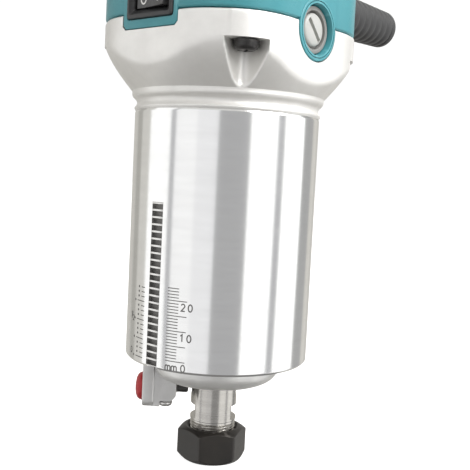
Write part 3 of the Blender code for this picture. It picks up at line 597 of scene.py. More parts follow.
GREY = Finish("grey_moulding", "grey_plastic", Surface.MOULDED, (0.50, 0.50, 0.475),
              (0.44, 0.44, 0.42), 0.0, (0.4, 0.55), 4800.0, 0.012, (0.56, 0.56, 0.54))
RIM_GREY = Finish("rim_grey", "grey_plastic", Surface.MOULDED, (0.20, 0.198, 0.19),
                  (0.27, 0.267, 0.255), 0.0, (0.4, 0.6), 3000.0, 0.02, (0.4, 0.4, 0.385))
RED = Finish("red_moulding", "red_plastic", Surface.MOULDED, (0.47, 0.018, 0.024),
             (0.40, 0.014, 0.02), 0.0, (0.28, 0.42), 4200.0, 0.008, (0.6, 0.06, 0.06))
RUBBER = Finish("guard_rubber", "rubber", Surface.RUBBER, (0.026, 0.026, 0.027),
                (0.037, 0.037, 0.037), 0.0, (0.5, 0.68), 3600.0, 0.015, (0.08, 0.08, 0.08))
STEEL = Finish("turned_steel", "bright_steel", Surface.TURNED, (0.50, 0.485, 0.455),
               (0.40, 0.385, 0.36), 1.0, (0.2, 0.36), 5200.0, 0.004)
GROUND_STEEL = Finish("ground_steel", "bright_steel", Surface.GROUND, (0.62, 0.61, 0.59),
                      (0.53, 0.52, 0.50), 1.0, (0.24, 0.4), 3600.0, 0.004, (0.8, 0.8, 0.78))
# Painted shade: the rack's bright steel darkened to stand for the shadow in the grooves between the
# teeth
PAINTED_SHADE_RACK = Finish("rack_roots_painted_shade", "bright_steel", Surface.OXIDE, (0.10, 0.098, 0.094),
                    (0.19, 0.185, 0.178), 0.5, (0.4, 0.58), 2600.0, 0.02)
BLACK_STEEL = Finish("black_oxide", "black_steel", Surface.OXIDE, (0.016, 0.0145, 0.013),
                     (0.026, 0.022, 0.018), 0.3, (0.34, 0.5), 3600.0, 0.012, (0.13, 0.12, 0.11))
SCREW_STEEL = Finish("screw_oxide", "black_steel", Surface.OXIDE, (0.022, 0.021, 0.021),
                     (0.034, 0.031, 0.029), 0.5, (0.26, 0.42), 4200.0, 0.008, (0.16, 0.155, 0.15))
CORE_STEEL = Finish("core_sheets", "core_steel", Surface.SHEETS, (0.36, 0.36, 0.37),
                    (0.16, 0.15, 0.15), 0.8, (0.36, 0.55), 2000.0, 0.03)
COPPER = Finish("varnished_wire", "copper", Surface.WOUND, (0.60, 0.25, 0.11),
                (0.24, 0.08, 0.03), 0.7, (0.24, 0.42), 1500.0, 0.08)
CARBON = Finish("pressed_carbon", "carbon", Surface.CAST, (0.045, 0.045, 0.047),
                (0.07, 0.07, 0.07), 0.1, (0.55, 0.75), 4200.0, 0.02)
DARK_MARK = Finish("dark_mark", "cast_aluminium", Surface.PRINT, (0.085, 0.083, 0.08),
                   (0.15, 0.148, 0.14), 0.2, (0.5, 0.66), 3000.0, 0.004)
WHITE_MARK = Finish("white_mark", "grey_plastic", Surface.PRINT, (0.82, 0.82, 0.80),
                    (0.74, 0.74, 0.72), 0.0, (0.42, 0.55), 3000.0, 0.004)

BY_SLOT = {finish.slot: finish for finish in (
    CAST_ALLOY, TEAL, BLACK, GREY, RED, RUBBER, GROUND_STEEL, BLACK_STEEL, CORE_STEEL, COPPER,
    CARBON)}


def mount(piece: bpy.types.Object, body: str, finish: Finish, *stands_for: str
          ) -> bpy.types.Object:
    """Give a piece its finish and its place in the frame.

    Args:
        piece: The finished mesh.
        body: Body of the frame that it moves with.
        finish: Its finish.
        stands_for: Nodes of the frame that it is shown instead of.

    Returns:
        The same piece.
    """
    piece.data.materials.clear()
    piece.data.materials.append(finish.material())
    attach(piece, body)
    if stands_for:
        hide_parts(*stands_for)
    LOG.info("%s: %d faces, rides on %s", piece.name, len(piece.data.polygons), body)
    return piece


# Marks


def arc(cx: float, cy: float, rx: float, ry: float, start: float, stop: float,
        steps: int) -> list[Point]:
    """Points on an ellipse, angles in degrees from +X."""
    return [(cx + rx * math.cos(math.radians(start + (stop - start) * i / steps)),
             cy + ry * math.sin(math.radians(start + (stop - start) * i / steps)))
            for i in range(steps + 1)]


class Glyph(Enum):
    """Plain strokes of the marks, in a cell one high; each stroke is (points, closed)."""

    ZERO = "0"
    ONE = "1"
    TWO = "2"
    THREE = "3"
    FOUR = "4"
    FIVE = "5"
    SIX = "6"
    LETTER_M = "m"
    BAR = "I"
    CIRCLE = "O"

    def strokes(self) -> list[tuple[list[Point], bool]]:
        """Return the strokes of this mark."""
        shapes: dict[Glyph, list[tuple[list[Point], bool]]] = {
            Glyph.ZERO: [(arc(0.3, 0.5, 0.27, 0.46, 0, 345, 23), True)],
            Glyph.CIRCLE: [(arc(0.3, 0.5, 0.34, 0.46, 0, 348, 29), True)],
            Glyph.ONE: [([(0.1, 0.76), (0.34, 0.97), (0.34, 0.03)], False)],
            Glyph.BAR: [([(0.3, 0.96), (0.3, 0.04)], False)],
            Glyph.TWO: [(arc(0.3, 0.7, 0.25, 0.26, 165, -25, 9)
                         + [(0.06, 0.04), (0.57, 0.04)], False)],
            Glyph.THREE: [(arc(0.28, 0.73, 0.24, 0.23, 150, -80, 8)
                           + arc(0.28, 0.27, 0.27, 0.24, 80, -150, 8), False)],
            Glyph.FOUR: [([(0.45, 0.03), (0.45, 0.97), (0.04, 0.3), (0.6, 0.3)], False)],
            Glyph.FIVE: [([(0.52, 0.96), (0.14, 0.96), (0.1, 0.56)]
                          + arc(0.29, 0.33, 0.26, 0.29, 110, -150, 10), False)],
            Glyph.SIX: [([(0.46, 0.95), (0.2, 0.72), (0.08, 0.42)]
                         + arc(0.31, 0.29, 0.24, 0.25, 165, 500, 14), False)],
            Glyph.LETTER_M: [([(0.04, 0.0), (0.04, 0.6)], False),
                             (arc(0.22, 0.42, 0.18, 0.2, 160, 0, 5) + [(0.4, 0.0)], False),
                             (arc(0.58, 0.42, 0.18, 0.2, 160, 0, 5) + [(0.76, 0.0)], False)],
        }
        return shapes[self]


@dataclass
class Marks:
    """Thin raised marks laid over a surface, gathered into one piece.

    Attributes:
        name: Name of the piece.
        wrap: Point on the surface from (along, up, above), in millimetres.
        stroke: Width of a line.
        rise: How far the marks stand above the surface.
        sink: How deep they reach into it.
    """

    name: str
    wrap: Wrap
    stroke: float
    rise: float = 0.015
    sink: float = 0.05
    _bm: bmesh.types.BMesh = field(default_factory=bmesh.new, repr=False)

    def line(self, points: Sequence[Point], closed: bool = False, width: float = 0.0) -> None:
        """Lay a line of even width along points in the surface's plane."""
        half = (width or self.stroke) / 2
        count = len(points)
        rows = []
        for i, (x, y) in enumerate(points):
            here = Vector((x, y))
            before = Vector(points[i - 1]) if closed or i else None
            after = Vector(points[(i + 1) % count]) if closed or i < count - 1 else None
            into = (here - before).normalized() if before is not None else None
            out = (after - here).normalized() if after is not None else None
            along = ((into or out) + (out or into)).normalized()
            side = Vector((-along.y, along.x))
            reach = half / max(0.4, side.dot(Vector((-(out or into).y, (out or into).x))))
            left, right = here + side * reach, here - side * reach
            rows.append([self._bm.verts.new(self.wrap(p.x, p.y, h)) for p, h in (
                (left, self.rise), (right, self.rise), (right, -self.sink), (left, -self.sink))])
        Forge.bridge(self._bm, rows, closed)
        if not closed:
            self._bm.faces.new(rows[0])
            self._bm.faces.new(rows[-1])

    def glyph(self, mark: Glyph, x: float, y: float, height: float, narrow: float = 1.0) -> None:
        """Draw one mark with its cell's lower left corner at a point."""
        for points, closed in mark.strokes():
            self.line([(x + px * height * narrow, y + py * height) for px, py in points], closed)

    def dot(self, x: float, y: float, radius: float) -> None:
        """Lay a round dot."""
        outline = arc(x, y, radius, radius, 0, 330, 11)
        top, low = ([self._bm.verts.new(self.wrap(px, py, above)) for px, py in outline]
                    for above in (self.rise, -self.sink))
        Forge.bridge(self._bm, [low, top])
        self._bm.faces.new(top)
        self._bm.faces.new(low)

    def finish(self, body: str, finish: Finish) -> bpy.types.Object:
        """Close the piece and mount it."""
        return mount(Forge.keep(self.name, self._bm, 40.0), body, finish)


# Casting


def head_radius(angle: float, inset: float = 0.0) -> float:
    """Distance from the axis to the head's rounded rectangle, angle from +X in radians."""
    half_x, half_y, corner = HEAD_HALF_X - inset, HEAD_HALF_Y - inset, HEAD_CORNER - inset
    c, s = abs(math.cos(angle)), abs(math.sin(angle))
    centre_x, centre_y = half_x - corner, half_y - corner
    flat_x = half_x / c if c > 1e-9 else math.inf
    if flat_x * s <= centre_y:
        return flat_x
    flat_y = half_y / s if s > 1e-9 else math.inf
    if flat_y * c <= centre_x:
        return flat_y
    along = centre_x * c + centre_y * s
    return along + math.sqrt(along ** 2 - centre_x ** 2 - centre_y ** 2 + corner ** 2)


def polar_loop(angles: Sequence[float], radius_at: RadiusAt, height: float) -> Loop:
    """Loop round the tool axis at a height, angles from +X in radians."""
    return [Vector((radius_at(a) * math.cos(a), radius_at(a) * math.sin(a), height))
            for a in angles]


def round_loops(angles: Sequence[float], rings: Iterable[Point]) -> list[Loop]:
    """Round loops about the tool axis, from pairs of radius and height."""
    return [polar_loop(angles, lambda _, r=radius: r, height) for radius, height in rings]


def head_loops(angles: Sequence[float], steps: Iterable[Point]) -> list[Loop]:
    """Loops on the head's outline, from pairs of height and inset."""
    return [polar_loop(angles, lambda a, i=inset: head_radius(a, i), height)
            for height, inset in steps]


@dataclass
class MotorCasting:
    """One casting in three surfaces: turned barrel, blasted bell and domed nose.

    Attributes:
        radius: Radius of the turned barrel.
        bore: Radius inside it.
        turned_top: Height where the turned surface ends.
        seam: Height of the joint with the head.
        flare_low: Height where the bell starts to open.
        flare_high: Height where it reaches the head's outline.
        flare_radius: Radius at its lower end.
        flare_top_radius: Radius at its upper end.
        flare_curve: How quickly it opens at first.
        recess_span: How far a screw recess reaches from its middle, in degrees.
        recess_reach: Distance from the axis at which its width is measured.
        recess_floor: Distance of its floor from the axis.
        recess_spread: Distance aside at which its wall has come out by one.
        recess_curve: How steeply the wall goes on from there.
        recess_foot: Height where its floor starts to run out.
        foot_length: How far below that it takes.
        foot_rise: How far the floor comes out there.
        pad_rise: How far the pad over a recess stands out.
        pad_edge: Distances aside between which the pad ends.
    """

    radius: float = 32.5
    bore: float = 28.2
    turned_top: float = 86.0
    seam: float = 115.0
    flare_low: float = 92.7
    flare_high: float = 107.0
    flare_radius: float = 33.8
    flare_top_radius: float = 43.6
    flare_curve: float = 1.35
    recess_span: float = 15.0
    recess_reach: float = 39.0
    recess_floor: float = 33.5
    recess_spread: float = 2.3
    recess_curve: float = 2.15
    recess_foot: float = 95.5
    foot_length: float = 3.4
    foot_rise: float = 0.5
    pad_rise: float = 0.28
    pad_edge: Point = (5.0, 5.7)

    @property
    def recess_roof(self) -> float:
        """Height of the roof of the screw recesses."""
        return self.flare_high - 0.2

    def build(self) -> None:
        """Make the three surfaces."""
        self.barrel()
        self.bell()
        self.nose()

    def barrel(self) -> bpy.types.Object:
        """Turned barrel with its lower plate, rack slot and air outlets."""
        outer = rounded([(22.6, 0.0, 0.0), (31.75, 0.0, 0.0), (self.radius, 0.75, 0.25),
                         (self.radius, self.turned_top - 0.7, 0.2),
                         (self.radius - 0.25, self.turned_top, 0.0)], closed=False, steps=3)
        inner = [(self.bore, self.turned_top), (self.bore, 4.5), (22.6, 4.5)]
        barrel = Forge.revolve("barrel", outer + inner, 192, sharp=24.0)
        tools = [Forge.block("rack_slot", (-2.5, -40.0, -1.0), (2.5, -30.1, 55.3))]
        for azimuth in (30, 90, 150, 210, 270):
            turn = Matrix.Rotation(math.radians(azimuth), 4, "Z")
            outline = rounded_rectangle(6.0, 1.6, 1.5)
            centred = turn @ Matrix.Translation((0.0, -26.0, 0.0))
            tools.append(Forge.slab(f"outlet_{azimuth}", outline, -2.0, 8.0, centred))
        tools += [LOCK.notch("barrel_notch"), *LOCK.threads("lock_thread")]
        Forge.combine(barrel, tools)
        return mount(barrel, "housing", TURNED_ALLOY, "barrel_housing")

    def flare(self, height: float) -> float:
        """Radius of the opening bell at a height."""
        rise = min(1.0, max(0.0, (height - self.flare_low) / (self.flare_high - self.flare_low)))
        return self.flare_radius + (self.flare_top_radius - self.flare_radius) * (
            1.0 - (1.0 - rise) ** self.flare_curve)

    def bell_radius(self, angle: float, height: float, neck: Callable[[float], float]) -> float:
        """Outer radius of the bell, with the screw recesses taken out of its corners."""
        radius = neck(height) if height < self.flare_low else soft_min(
            self.flare(height), head_radius(angle), 0.7)
        for azimuth in CORNERS:
            off = (math.degrees(angle) + 90.0 - azimuth + 180.0) % 360.0 - 180.0
            if abs(off) > self.recess_span:
                continue
            aside = self.recess_reach * math.sin(math.radians(abs(off)))
            if height < self.recess_roof:
                wall = (aside / self.recess_spread) ** self.recess_curve
                foot = self.foot_rise * ease(self.recess_foot - height, 0.0, self.foot_length)
                radius = soft_min(radius, self.recess_floor + wall + foot, 0.5)
            else:
                radius += self.pad_rise * (1.0 - ease(aside, *self.pad_edge))
        return radius

    def bell(self) -> bpy.types.Object:
        """Blasted bell from the neck up to the head's seam."""
        points = smooth_line([(self.turned_top, 32.35), (86.9, 32.8), (87.7, 32.3), (88.6, 31.95),
                              (89.6, 32.3), (90.6, 33.3), (91.4, 33.72), (92.1, 33.72),
                              (self.flare_low, 33.8)], 8)

        def neck(height: float) -> float:
            """Radius of the neck at a height."""
            for (h0, r0), (h1, r1) in zip(points, points[1:]):
                if h0 <= height <= h1:
                    return r0 + (r1 - r0) * (height - h0) / (h1 - h0) if h1 > h0 else r0
            return points[-1][1]

        corners = [(azimuth - 90.0) % 360.0 for azimuth in CORNERS]
        fine = [c + d for c in corners for d in span(-11.0, 11.0, 0.55)]
        coarse = [a for a in span(0.0, 357.6, 2.4) if all(abs(a - c) > 12.0 for c in corners)]
        angles = [math.radians(a) for a in sorted(fine + coarse)]
        roof = self.recess_roof
        heights = [h for h, _ in points[:-1]] + span(self.flare_low, roof - 0.05, 0.5)
        heights += [roof + 0.02] + span(roof + 0.5, self.seam - 0.75, 0.9)
        loops = [polar_loop(angles, lambda a, h=h: self.bell_radius(a, h, neck), h)
                 for h in heights]
        for inset, drop in ((0.0, 0.75), (0.08, 0.4), (0.3, 0.15), (0.75, 0.0)):
            loops.append(polar_loop(angles, lambda a, i=inset: self.bell_radius(
                a, self.seam - 0.6, neck) - i, self.seam - drop))
        loops += round_loops(angles, [(30.5, self.seam), (30.5, 104.0), (self.bore, 98.0),
                                      (self.bore, self.turned_top)])
        bell = Forge.skin("bell", loops, ring=True, sharp=38.0)
        Forge.combine(bell, self.bell_tools())
        return mount(bell, "housing", CAST_ALLOY, "barrel_housing")

    def bell_tools(self) -> list[bpy.types.Object]:
        """Cutters for the brush notches, the switch tongue and the head screws."""
        tools = []
        for side in (-1, 1):
            frame = level_frame(BRUSH_HEIGHT, (side, 0, 0))
            outline = arc(0, 0, 10.42, 10.42, 180, 360, 48) + [(10.42, 6.0), (-10.42, 6.0)]
            tools.append(Forge.slab(f"boss_notch_{side}", outline, 24.0, 48.0, frame))
        tools.append(Forge.slab("tongue_notch", tab_outline(12.5, 110.1, 120.0, 1.3), 35.2, 50.0,
                                level_frame(0, (0, -1, 0))))
        for azimuth in CORNERS:
            tools.append(Forge.peg(f"screw_way_{azimuth:.0f}", 2.3, 100.0, 120.0,
                                   upright_frame(azimuth, HEAD_SCREW_REACH), 32))
        return tools

    def nose(self) -> bpy.types.Object:
        """Domed nose round the lower bearing's seat."""
        outer = smooth_line([(23.35, 0.0), (23.3, -1.6), (22.95, -3.9), (22.2, -5.6), (20.7, -7.1),
                             (18.6, -8.2), (16.4, -8.8)], 6)
        profile = [(14.3, 10.6), (14.3, 1.8), (9.2, 1.8), (9.2, -8.4), (9.8, -9.0), (15.6, -9.0),
                   *reversed(outer[1:]), (23.35, 0.02), (22.55, 0.02), (22.55, 10.6)]
        nose = Forge.revolve("nose", profile, 144, sharp=30.0)
        tools = [LOCK.notch("nose_notch"), *LOCK.threads("nose_thread")]
        tools += [Forge.peg(f"plate_thread_{a}", 1.5, 4.0, 12.0, upright_frame(a, 18.0), 24)
                  for a in (60, 210)]
        Forge.combine(nose, tools)
        return mount(nose, "housing", NOSE_ALLOY, "barrel_housing")


@dataclass
class HeightRack:
    """Toothed strip let into the barrel.

    Attributes:
        face: Distance of the strip's face from the axis.
        root: Distance of the tooth roots.
        back: Distance of its back.
        top: Height of its upper end.
        low: Height of its lower end.
        pitch: Distance from tooth to tooth.
        teeth: Number of grooves.
        gap: Opening between two teeth.
        half_width: Half of the strip's width.
    """

    face: float = 32.44
    root: float = 31.1
    back: float = 30.4
    top: float = 55.2
    low: float = 0.8
    pitch: float = 2.36
    teeth: int = 23
    gap: float = 1.72
    half_width: float = 2.45

    def build(self) -> bpy.types.Object:
        """Make the strip, dark with painted shade for the grooves between the teeth, and the bright
        teeth that stand on it.
        """
        half, land = self.half_width, self.pitch - self.gap
        first = self.top - 0.5
        # The strip's dark finish is painted shade, standing for the shadow in the tooth grooves
        root = Forge.block("height_strip_painted_shade", (-half, -self.root, self.low),
                           (half, -self.back, self.top))
        mount(root, "housing", PAINTED_SHADE_RACK, "height_rack")
        lands = [Forge.block("height_land_top", (-half, -self.face, first),
                             (half, -self.root + 0.2, self.top))]
        for i in range(self.teeth):
            high = first - self.gap - i * self.pitch
            low = max(high - land, self.low)
            lands.append(Forge.block(f"height_land_{i}", (-half, -self.face, low),
                                     (half, -self.root + 0.2, high)))
        teeth = Forge.soften(Forge.merge("height_teeth", lands), 0.06, 2)
        return mount(teeth, "housing", GROUND_STEEL, "height_rack")


@dataclass
class Scales:
    """Depth scales beside the rack, millimetres on its right and inches on its left.

    Attributes:
        radius: Radius of the barrel under the marks.
        zero: Height of the millimetre scale's zero line.
        reach: Longest mark of the millimetre scale.
        metric_azimuth: Where its lines start.
        metric_ticks: Lengths of its long and short lines.
        inch_azimuth: Where the lines of the inch scale end.
        inch_ticks: Lengths of its long and short lines.
        inch_drop: How far its first line is under the millimetre scale's.
        inch_count: Number of its lines, a sixteenth apart.
        line: Width of the lines.
    """

    radius: float = 32.5
    zero: float = 3.8
    reach: int = 24
    metric_azimuth: float = 10.4
    metric_ticks: Point = (7.2, 4.2)
    inch_azimuth: float = -8.4
    inch_ticks: Point = (4.4, 1.9)
    inch_drop: float = 1.2
    inch_count: int = 16
    line: float = 0.3

    def wrapped(self, azimuth: float) -> Wrap:
        """Surface of the barrel, measured from an azimuth and the zero height."""
        def place(along: float, up: float, above: float) -> Vector:
            """Point over the barrel."""
            return at_azimuth(azimuth + math.degrees(along / self.radius), self.radius + above,
                              self.zero + up)
        return place

    def tick(self, marks: Marks, start: float, stop: float, up: float) -> None:
        """Lay one level line that follows the barrel."""
        marks.line([(a, up) for a in span(start, stop, 0.7)], width=self.line)

    def build(self) -> None:
        """Make both scales."""
        self.metric()
        self.inch()

    def metric(self) -> None:
        """Millimetre scale, with a number at every tenth line and its unit."""
        metric = Marks("metric_scale", self.wrapped(self.metric_azimuth), 0.42)
        for i in range(self.reach + 1):
            self.tick(metric, 0.0, self.metric_ticks[0 if i % 5 == 0 else 1], float(i))
        for value, digits in ((20, (Glyph.TWO, Glyph.ZERO)), (10, (Glyph.ONE, Glyph.ZERO)),
                              (0, (Glyph.ZERO,))):
            start = 5.1 if len(digits) == 2 else 5.9
            for k, digit in enumerate(digits):
                metric.glyph(digit, start + 2.5 * k, value - 3.2, 2.5)
        for k in range(2):
            metric.glyph(Glyph.LETTER_M, 0.1 + 2.35 * k, -3.1, 2.6)
        metric.finish("housing", DARK_MARK)

    def inch(self) -> None:
        """Inch scale, with a dot at the end of each line, and its zero and its half."""
        inch = Marks("inch_scale", self.wrapped(self.inch_azimuth), 0.36)
        sixteenth = 25.4 / 16
        for i in range(self.inch_count):
            up = i * sixteenth - self.inch_drop
            long = i % 4 == 0
            self.tick(inch, -self.inch_ticks[0 if long else 1], 0.0, up)
            inch.dot(-5.8 if long else -3.5, up, 0.42)
        inch.glyph(Glyph.ZERO, -8.6, -1.0, 2.2)
        inch.glyph(Glyph.ONE, -9.2, 11.3, 1.9)
        inch.line([(-8.4, 10.9), (-7.6, 13.4)])
        inch.glyph(Glyph.TWO, -7.5, 10.4, 1.9)
        inch.finish("housing", DARK_MARK)


# Head


@dataclass
class Head:
    """Moulded head with its switch tongue and brush bosses.

    Attributes:
        low: Height of its lower edge.
        high: Height of its upper edge.
        bore: Radius inside, above the ledge.
        low_bore: Radius inside, below it.
        ledge: Height of the ledge.
        boss: Radius of a brush boss.
        boss_reach: How far the bosses reach along X.
    """

    low: float = 115.3
    high: float = 150.0
    bore: float = 33.5
    low_bore: float = 29.0
    ledge: float = 123.6
    boss: float = 10.1
    boss_reach: float = 37.1

    def build(self) -> bpy.types.Object:
        """Make the head."""
        angles = even_angles(180)
        steps = [(self.low, 0.85), (self.low + 0.15, 0.35), (self.low + 0.4, 0.1),
                 (self.low + 0.75, 0.0), (self.high - 0.5, 0.0), (self.high - 0.15, 0.12),
                 (self.high, 0.4)]
        loops = head_loops(angles, steps)
        loops += round_loops(angles, [(self.bore, self.high), (self.bore, self.ledge),
                                      (self.low_bore, self.ledge), (self.low_bore, self.low)])
        head = Forge.skin("head", loops, ring=True)
        Forge.combine(head, [*self.bosses(), self.tongue()], "UNION")
        Forge.combine(head, self.tools())
        return mount(head, "housing", TEAL, "head_housing")

    def boss_frame(self, side: int) -> Matrix:
        """Frame of a brush boss, its Z pointing outwards."""
        return level_frame(BRUSH_HEIGHT, (side, 0, 0))

    def bosses(self) -> list[bpy.types.Object]:
        """Round bosses with softened rims."""
        reach = self.boss_reach
        profile = [(0, 29.0), (self.boss, 29.0), (self.boss, reach - 0.5),
                   (self.boss - 0.15, reach - 0.15), (self.boss - 0.5, reach), (0, reach)]
        return [Forge.revolve(f"boss_{side}", profile, 88, self.boss_frame(side), ring=False)
                for side in (-1, 1)]

    def tongue(self) -> bpy.types.Object:
        """Tab under the switch, with its lower corners cut off."""
        return Forge.slab("tongue", tab_outline(12.2, 110.4, 117.2, 1.2), 35.5, HEAD_HALF_Y,
                          level_frame(0, (0, -1, 0)), 0.3)

    def tools(self) -> list[bpy.types.Object]:
        """Cutters for the holders, the switch, the cord guard and the screws."""
        tools = []
        for side in (-1, 1):
            frame = self.boss_frame(side)
            tools.append(Forge.peg(f"holder_bore_{side}", 6.9, 20.0, 50.0, frame, 64))
            sink = [(0, 34.05), (7.85, 34.05), (7.95, 36.2), (8.6, 38.0), (0, 38.0)]
            tools.append(Forge.revolve(f"holder_sink_{side}", sink, 72, frame, ring=False))
            groove = [(8.85, 36.5), (9.15, 36.5), (9.15, 38.0), (8.85, 38.0)]
            tools.append(Forge.revolve(f"boss_groove_{side}", groove, 76, frame))
        tools.append(Forge.block("switch_pocket", (-9.0, -60, 115.2), (9.0, -29.2, 126.3)))
        tools.append(Forge.slab("bezel_seat", rounded_rectangle(10.5, 7.55, 1.3), 38.6, 60.0,
                                level_frame(BEZEL_HEIGHT, (0, -1, 0))))
        tools.append(Forge.peg("guard_hole", 7.7, 20.0, 60.0, level_frame(GUARD_HEIGHT, (0, 1, 0)),
                               72))
        for azimuth in CORNERS:
            tools.append(Forge.peg(f"head_thread_{azimuth:.0f}", 2.3, 110.0, 128.0,
                                   upright_frame(azimuth, HEAD_SCREW_REACH), 32))
            tools.append(Forge.peg(f"cover_thread_{azimuth:.0f}", 2.0, 141.5, 155.0,
                                   upright_frame(azimuth, COVER_SCREW_REACH), 32))
        for azimuth in (62, 242):
            tools.append(Forge.peg(f"bracket_thread_{azimuth}", 1.5, 116.6, 125.0,
                                   upright_frame(azimuth, 31.0), 24))
        return tools


@dataclass
class TopCover:
    """Lid of the head, with the dial's dish and window and grooves for the air.

    Attributes:
        low: Height of its lower edge.
        high: Height of its top.
    """

    low: float = 150.3
    high: float = 162.2

    def build(self) -> bpy.types.Object:
        """Make the lid."""
        angles = even_angles(180)
        high = self.high
        rim = smooth_line([(high - 4.6, 0.0), (high - 2.6, 0.5), (high - 1.0, 1.9),
                           (high - 0.2, 3.8), (high, 5.8)], 4)
        steps = [(self.low, 0.5), (self.low + 0.15, 0.15), (self.low + 0.5, 0.0), *rim,
                 (high, 6.3), (high, 7.0)]
        loops = round_loops(angles, [(32.0, high - 4.2), (33.5, self.low)])
        loops += head_loops(angles, steps)
        cover = Forge.skin("cover", loops)
        x, y = DIAL_AT
        window = Forge.slab("dial_window", rounded_rectangle(9.5, 3.1, 0.8), high - 7.0, high + 2.0,
                            Matrix.Translation((x, y, 0.0)))
        dish = [[Vector((x + a, y + b, height)) for a, b in rounded_rectangle(*sizes)]
                for sizes, height in (((11.3, 5.3, 2.6), high - 2.2),
                                      ((12.7, 6.7, 3.2), high + 0.4))]
        tools = [window, Forge.skin("dial_dish", dish)]
        for azimuth in CORNERS:
            at = upright_frame(azimuth, COVER_SCREW_REACH)
            sink = [(0, 157.2), (3.2, 157.2), (3.2, 160.6), (5.2, 164.5), (0, 164.5)]
            tools.append(Forge.revolve(f"cover_sink_{azimuth:.0f}", sink, 48, at, ring=False))
            tools.append(Forge.peg(f"cover_way_{azimuth:.0f}", 2.0, 145.0, 160.0, at, 32))
        for i in range(6):
            at = Matrix.Translation((8.0 + 3.6 * i, 0.0, 0.0))
            long = 15.0 - 1.1 * i
            tools.append(Forge.slab(f"air_groove_{i}", rounded_rectangle(0.75, long, 0.7),
                                    high - 1.4, high + 1.0, at))
        Forge.combine(cover, tools)
        return mount(cover, "housing", TEAL, "top_cover")


@dataclass
class PowerSwitch:
    """Bezel with its body, and the rocker that tips about an upright pivot.

    Attributes:
        height: Height of the rocker's middle.
        pivot: Distance of the rocker's pivot from the axis.
        stand: How far the rocker's middle stands in front of the pivot.
        half_length: Half of the rocker's length.
    """

    height: float = 120.75
    pivot: float = 36.3
    stand: float = 3.1
    half_length: float = 6.9

    def loop(self, half_x: float, half_z: float, corner: float, depth: float,
             middle: float | None = None) -> Loop:
        """Rounded rectangle facing -Y at a distance from the axis, level with the rocker."""
        middle = self.height if middle is None else middle
        return [Vector((x, -depth, middle + z))
                for x, z in rounded_rectangle(half_x, half_z, corner, 6)]

    def build(self) -> None:
        """Make the bezel and the rocker."""
        plate = BEZEL_HEIGHT
        loops = [self.loop(8.7, 5.25, 0.6, 29.5), self.loop(8.7, 5.25, 0.6, 38.95),
                 self.loop(10.2, 7.25, 1.2, 38.95, plate), self.loop(10.2, 7.25, 1.2, 39.7, plate),
                 self.loop(10.0, 7.05, 1.1, 40.05, plate), self.loop(9.6, 6.65, 0.9, 40.2, plate),
                 self.loop(9.1, 6.1, 0.8, 40.2), self.loop(8.9, 5.85, 0.8, 40.0),
                 self.loop(7.95, 4.45, 0.5, 38.6), self.loop(7.9, 4.35, 0.5, 38.2),
                 self.loop(7.9, 4.35, 0.5, 32.5)]
        bezel = Forge.skin("switch_frame", loops)
        mount(bezel, "housing", BLACK, "switch_bezel")
        self.rocker()

    def face(self, x: float) -> float:
        """How far the rocker's face stands in front of its pivot, at a place across it."""
        lift, hollow = (0.7, 0.16) if x < 0 else (1.5, 0.22)
        dip = math.sin(math.pi * min(1.0, abs(x) / self.half_length))
        return self.stand + lift * x / self.half_length - hollow * dip

    def rocker(self) -> None:
        """Rocker with a shallow hollow on each half, and its off and on marks."""
        front = [(x, -self.pivot - self.face(x)) for x in span(-6.85, 6.85, 0.46)]
        outline = front + [(6.95, -self.pivot), (5.0, -self.pivot + 1.6),
                           (-5.0, -self.pivot + 1.6), (-6.95, -self.pivot + 0.2)]
        rocker = Forge.slab("rocker", outline, self.height - 4.05, self.height + 4.05, edge=0.22)
        mount(rocker, "rocker", ROCKER, "switch_rocker")

        def wrap(across: float, up: float, above: float) -> Vector:
            """Point over the rocker's face."""
            return Vector((across, -self.pivot - self.face(across) - above, self.height + up))

        signs = Marks("rocker_marks", wrap, 0.5, rise=0.03)
        signs.glyph(Glyph.CIRCLE, -4.75, -2.9, 3.9)
        signs.glyph(Glyph.BAR, 2.6, -2.8, 3.7)
        signs.finish("rocker", WHITE_MARK)


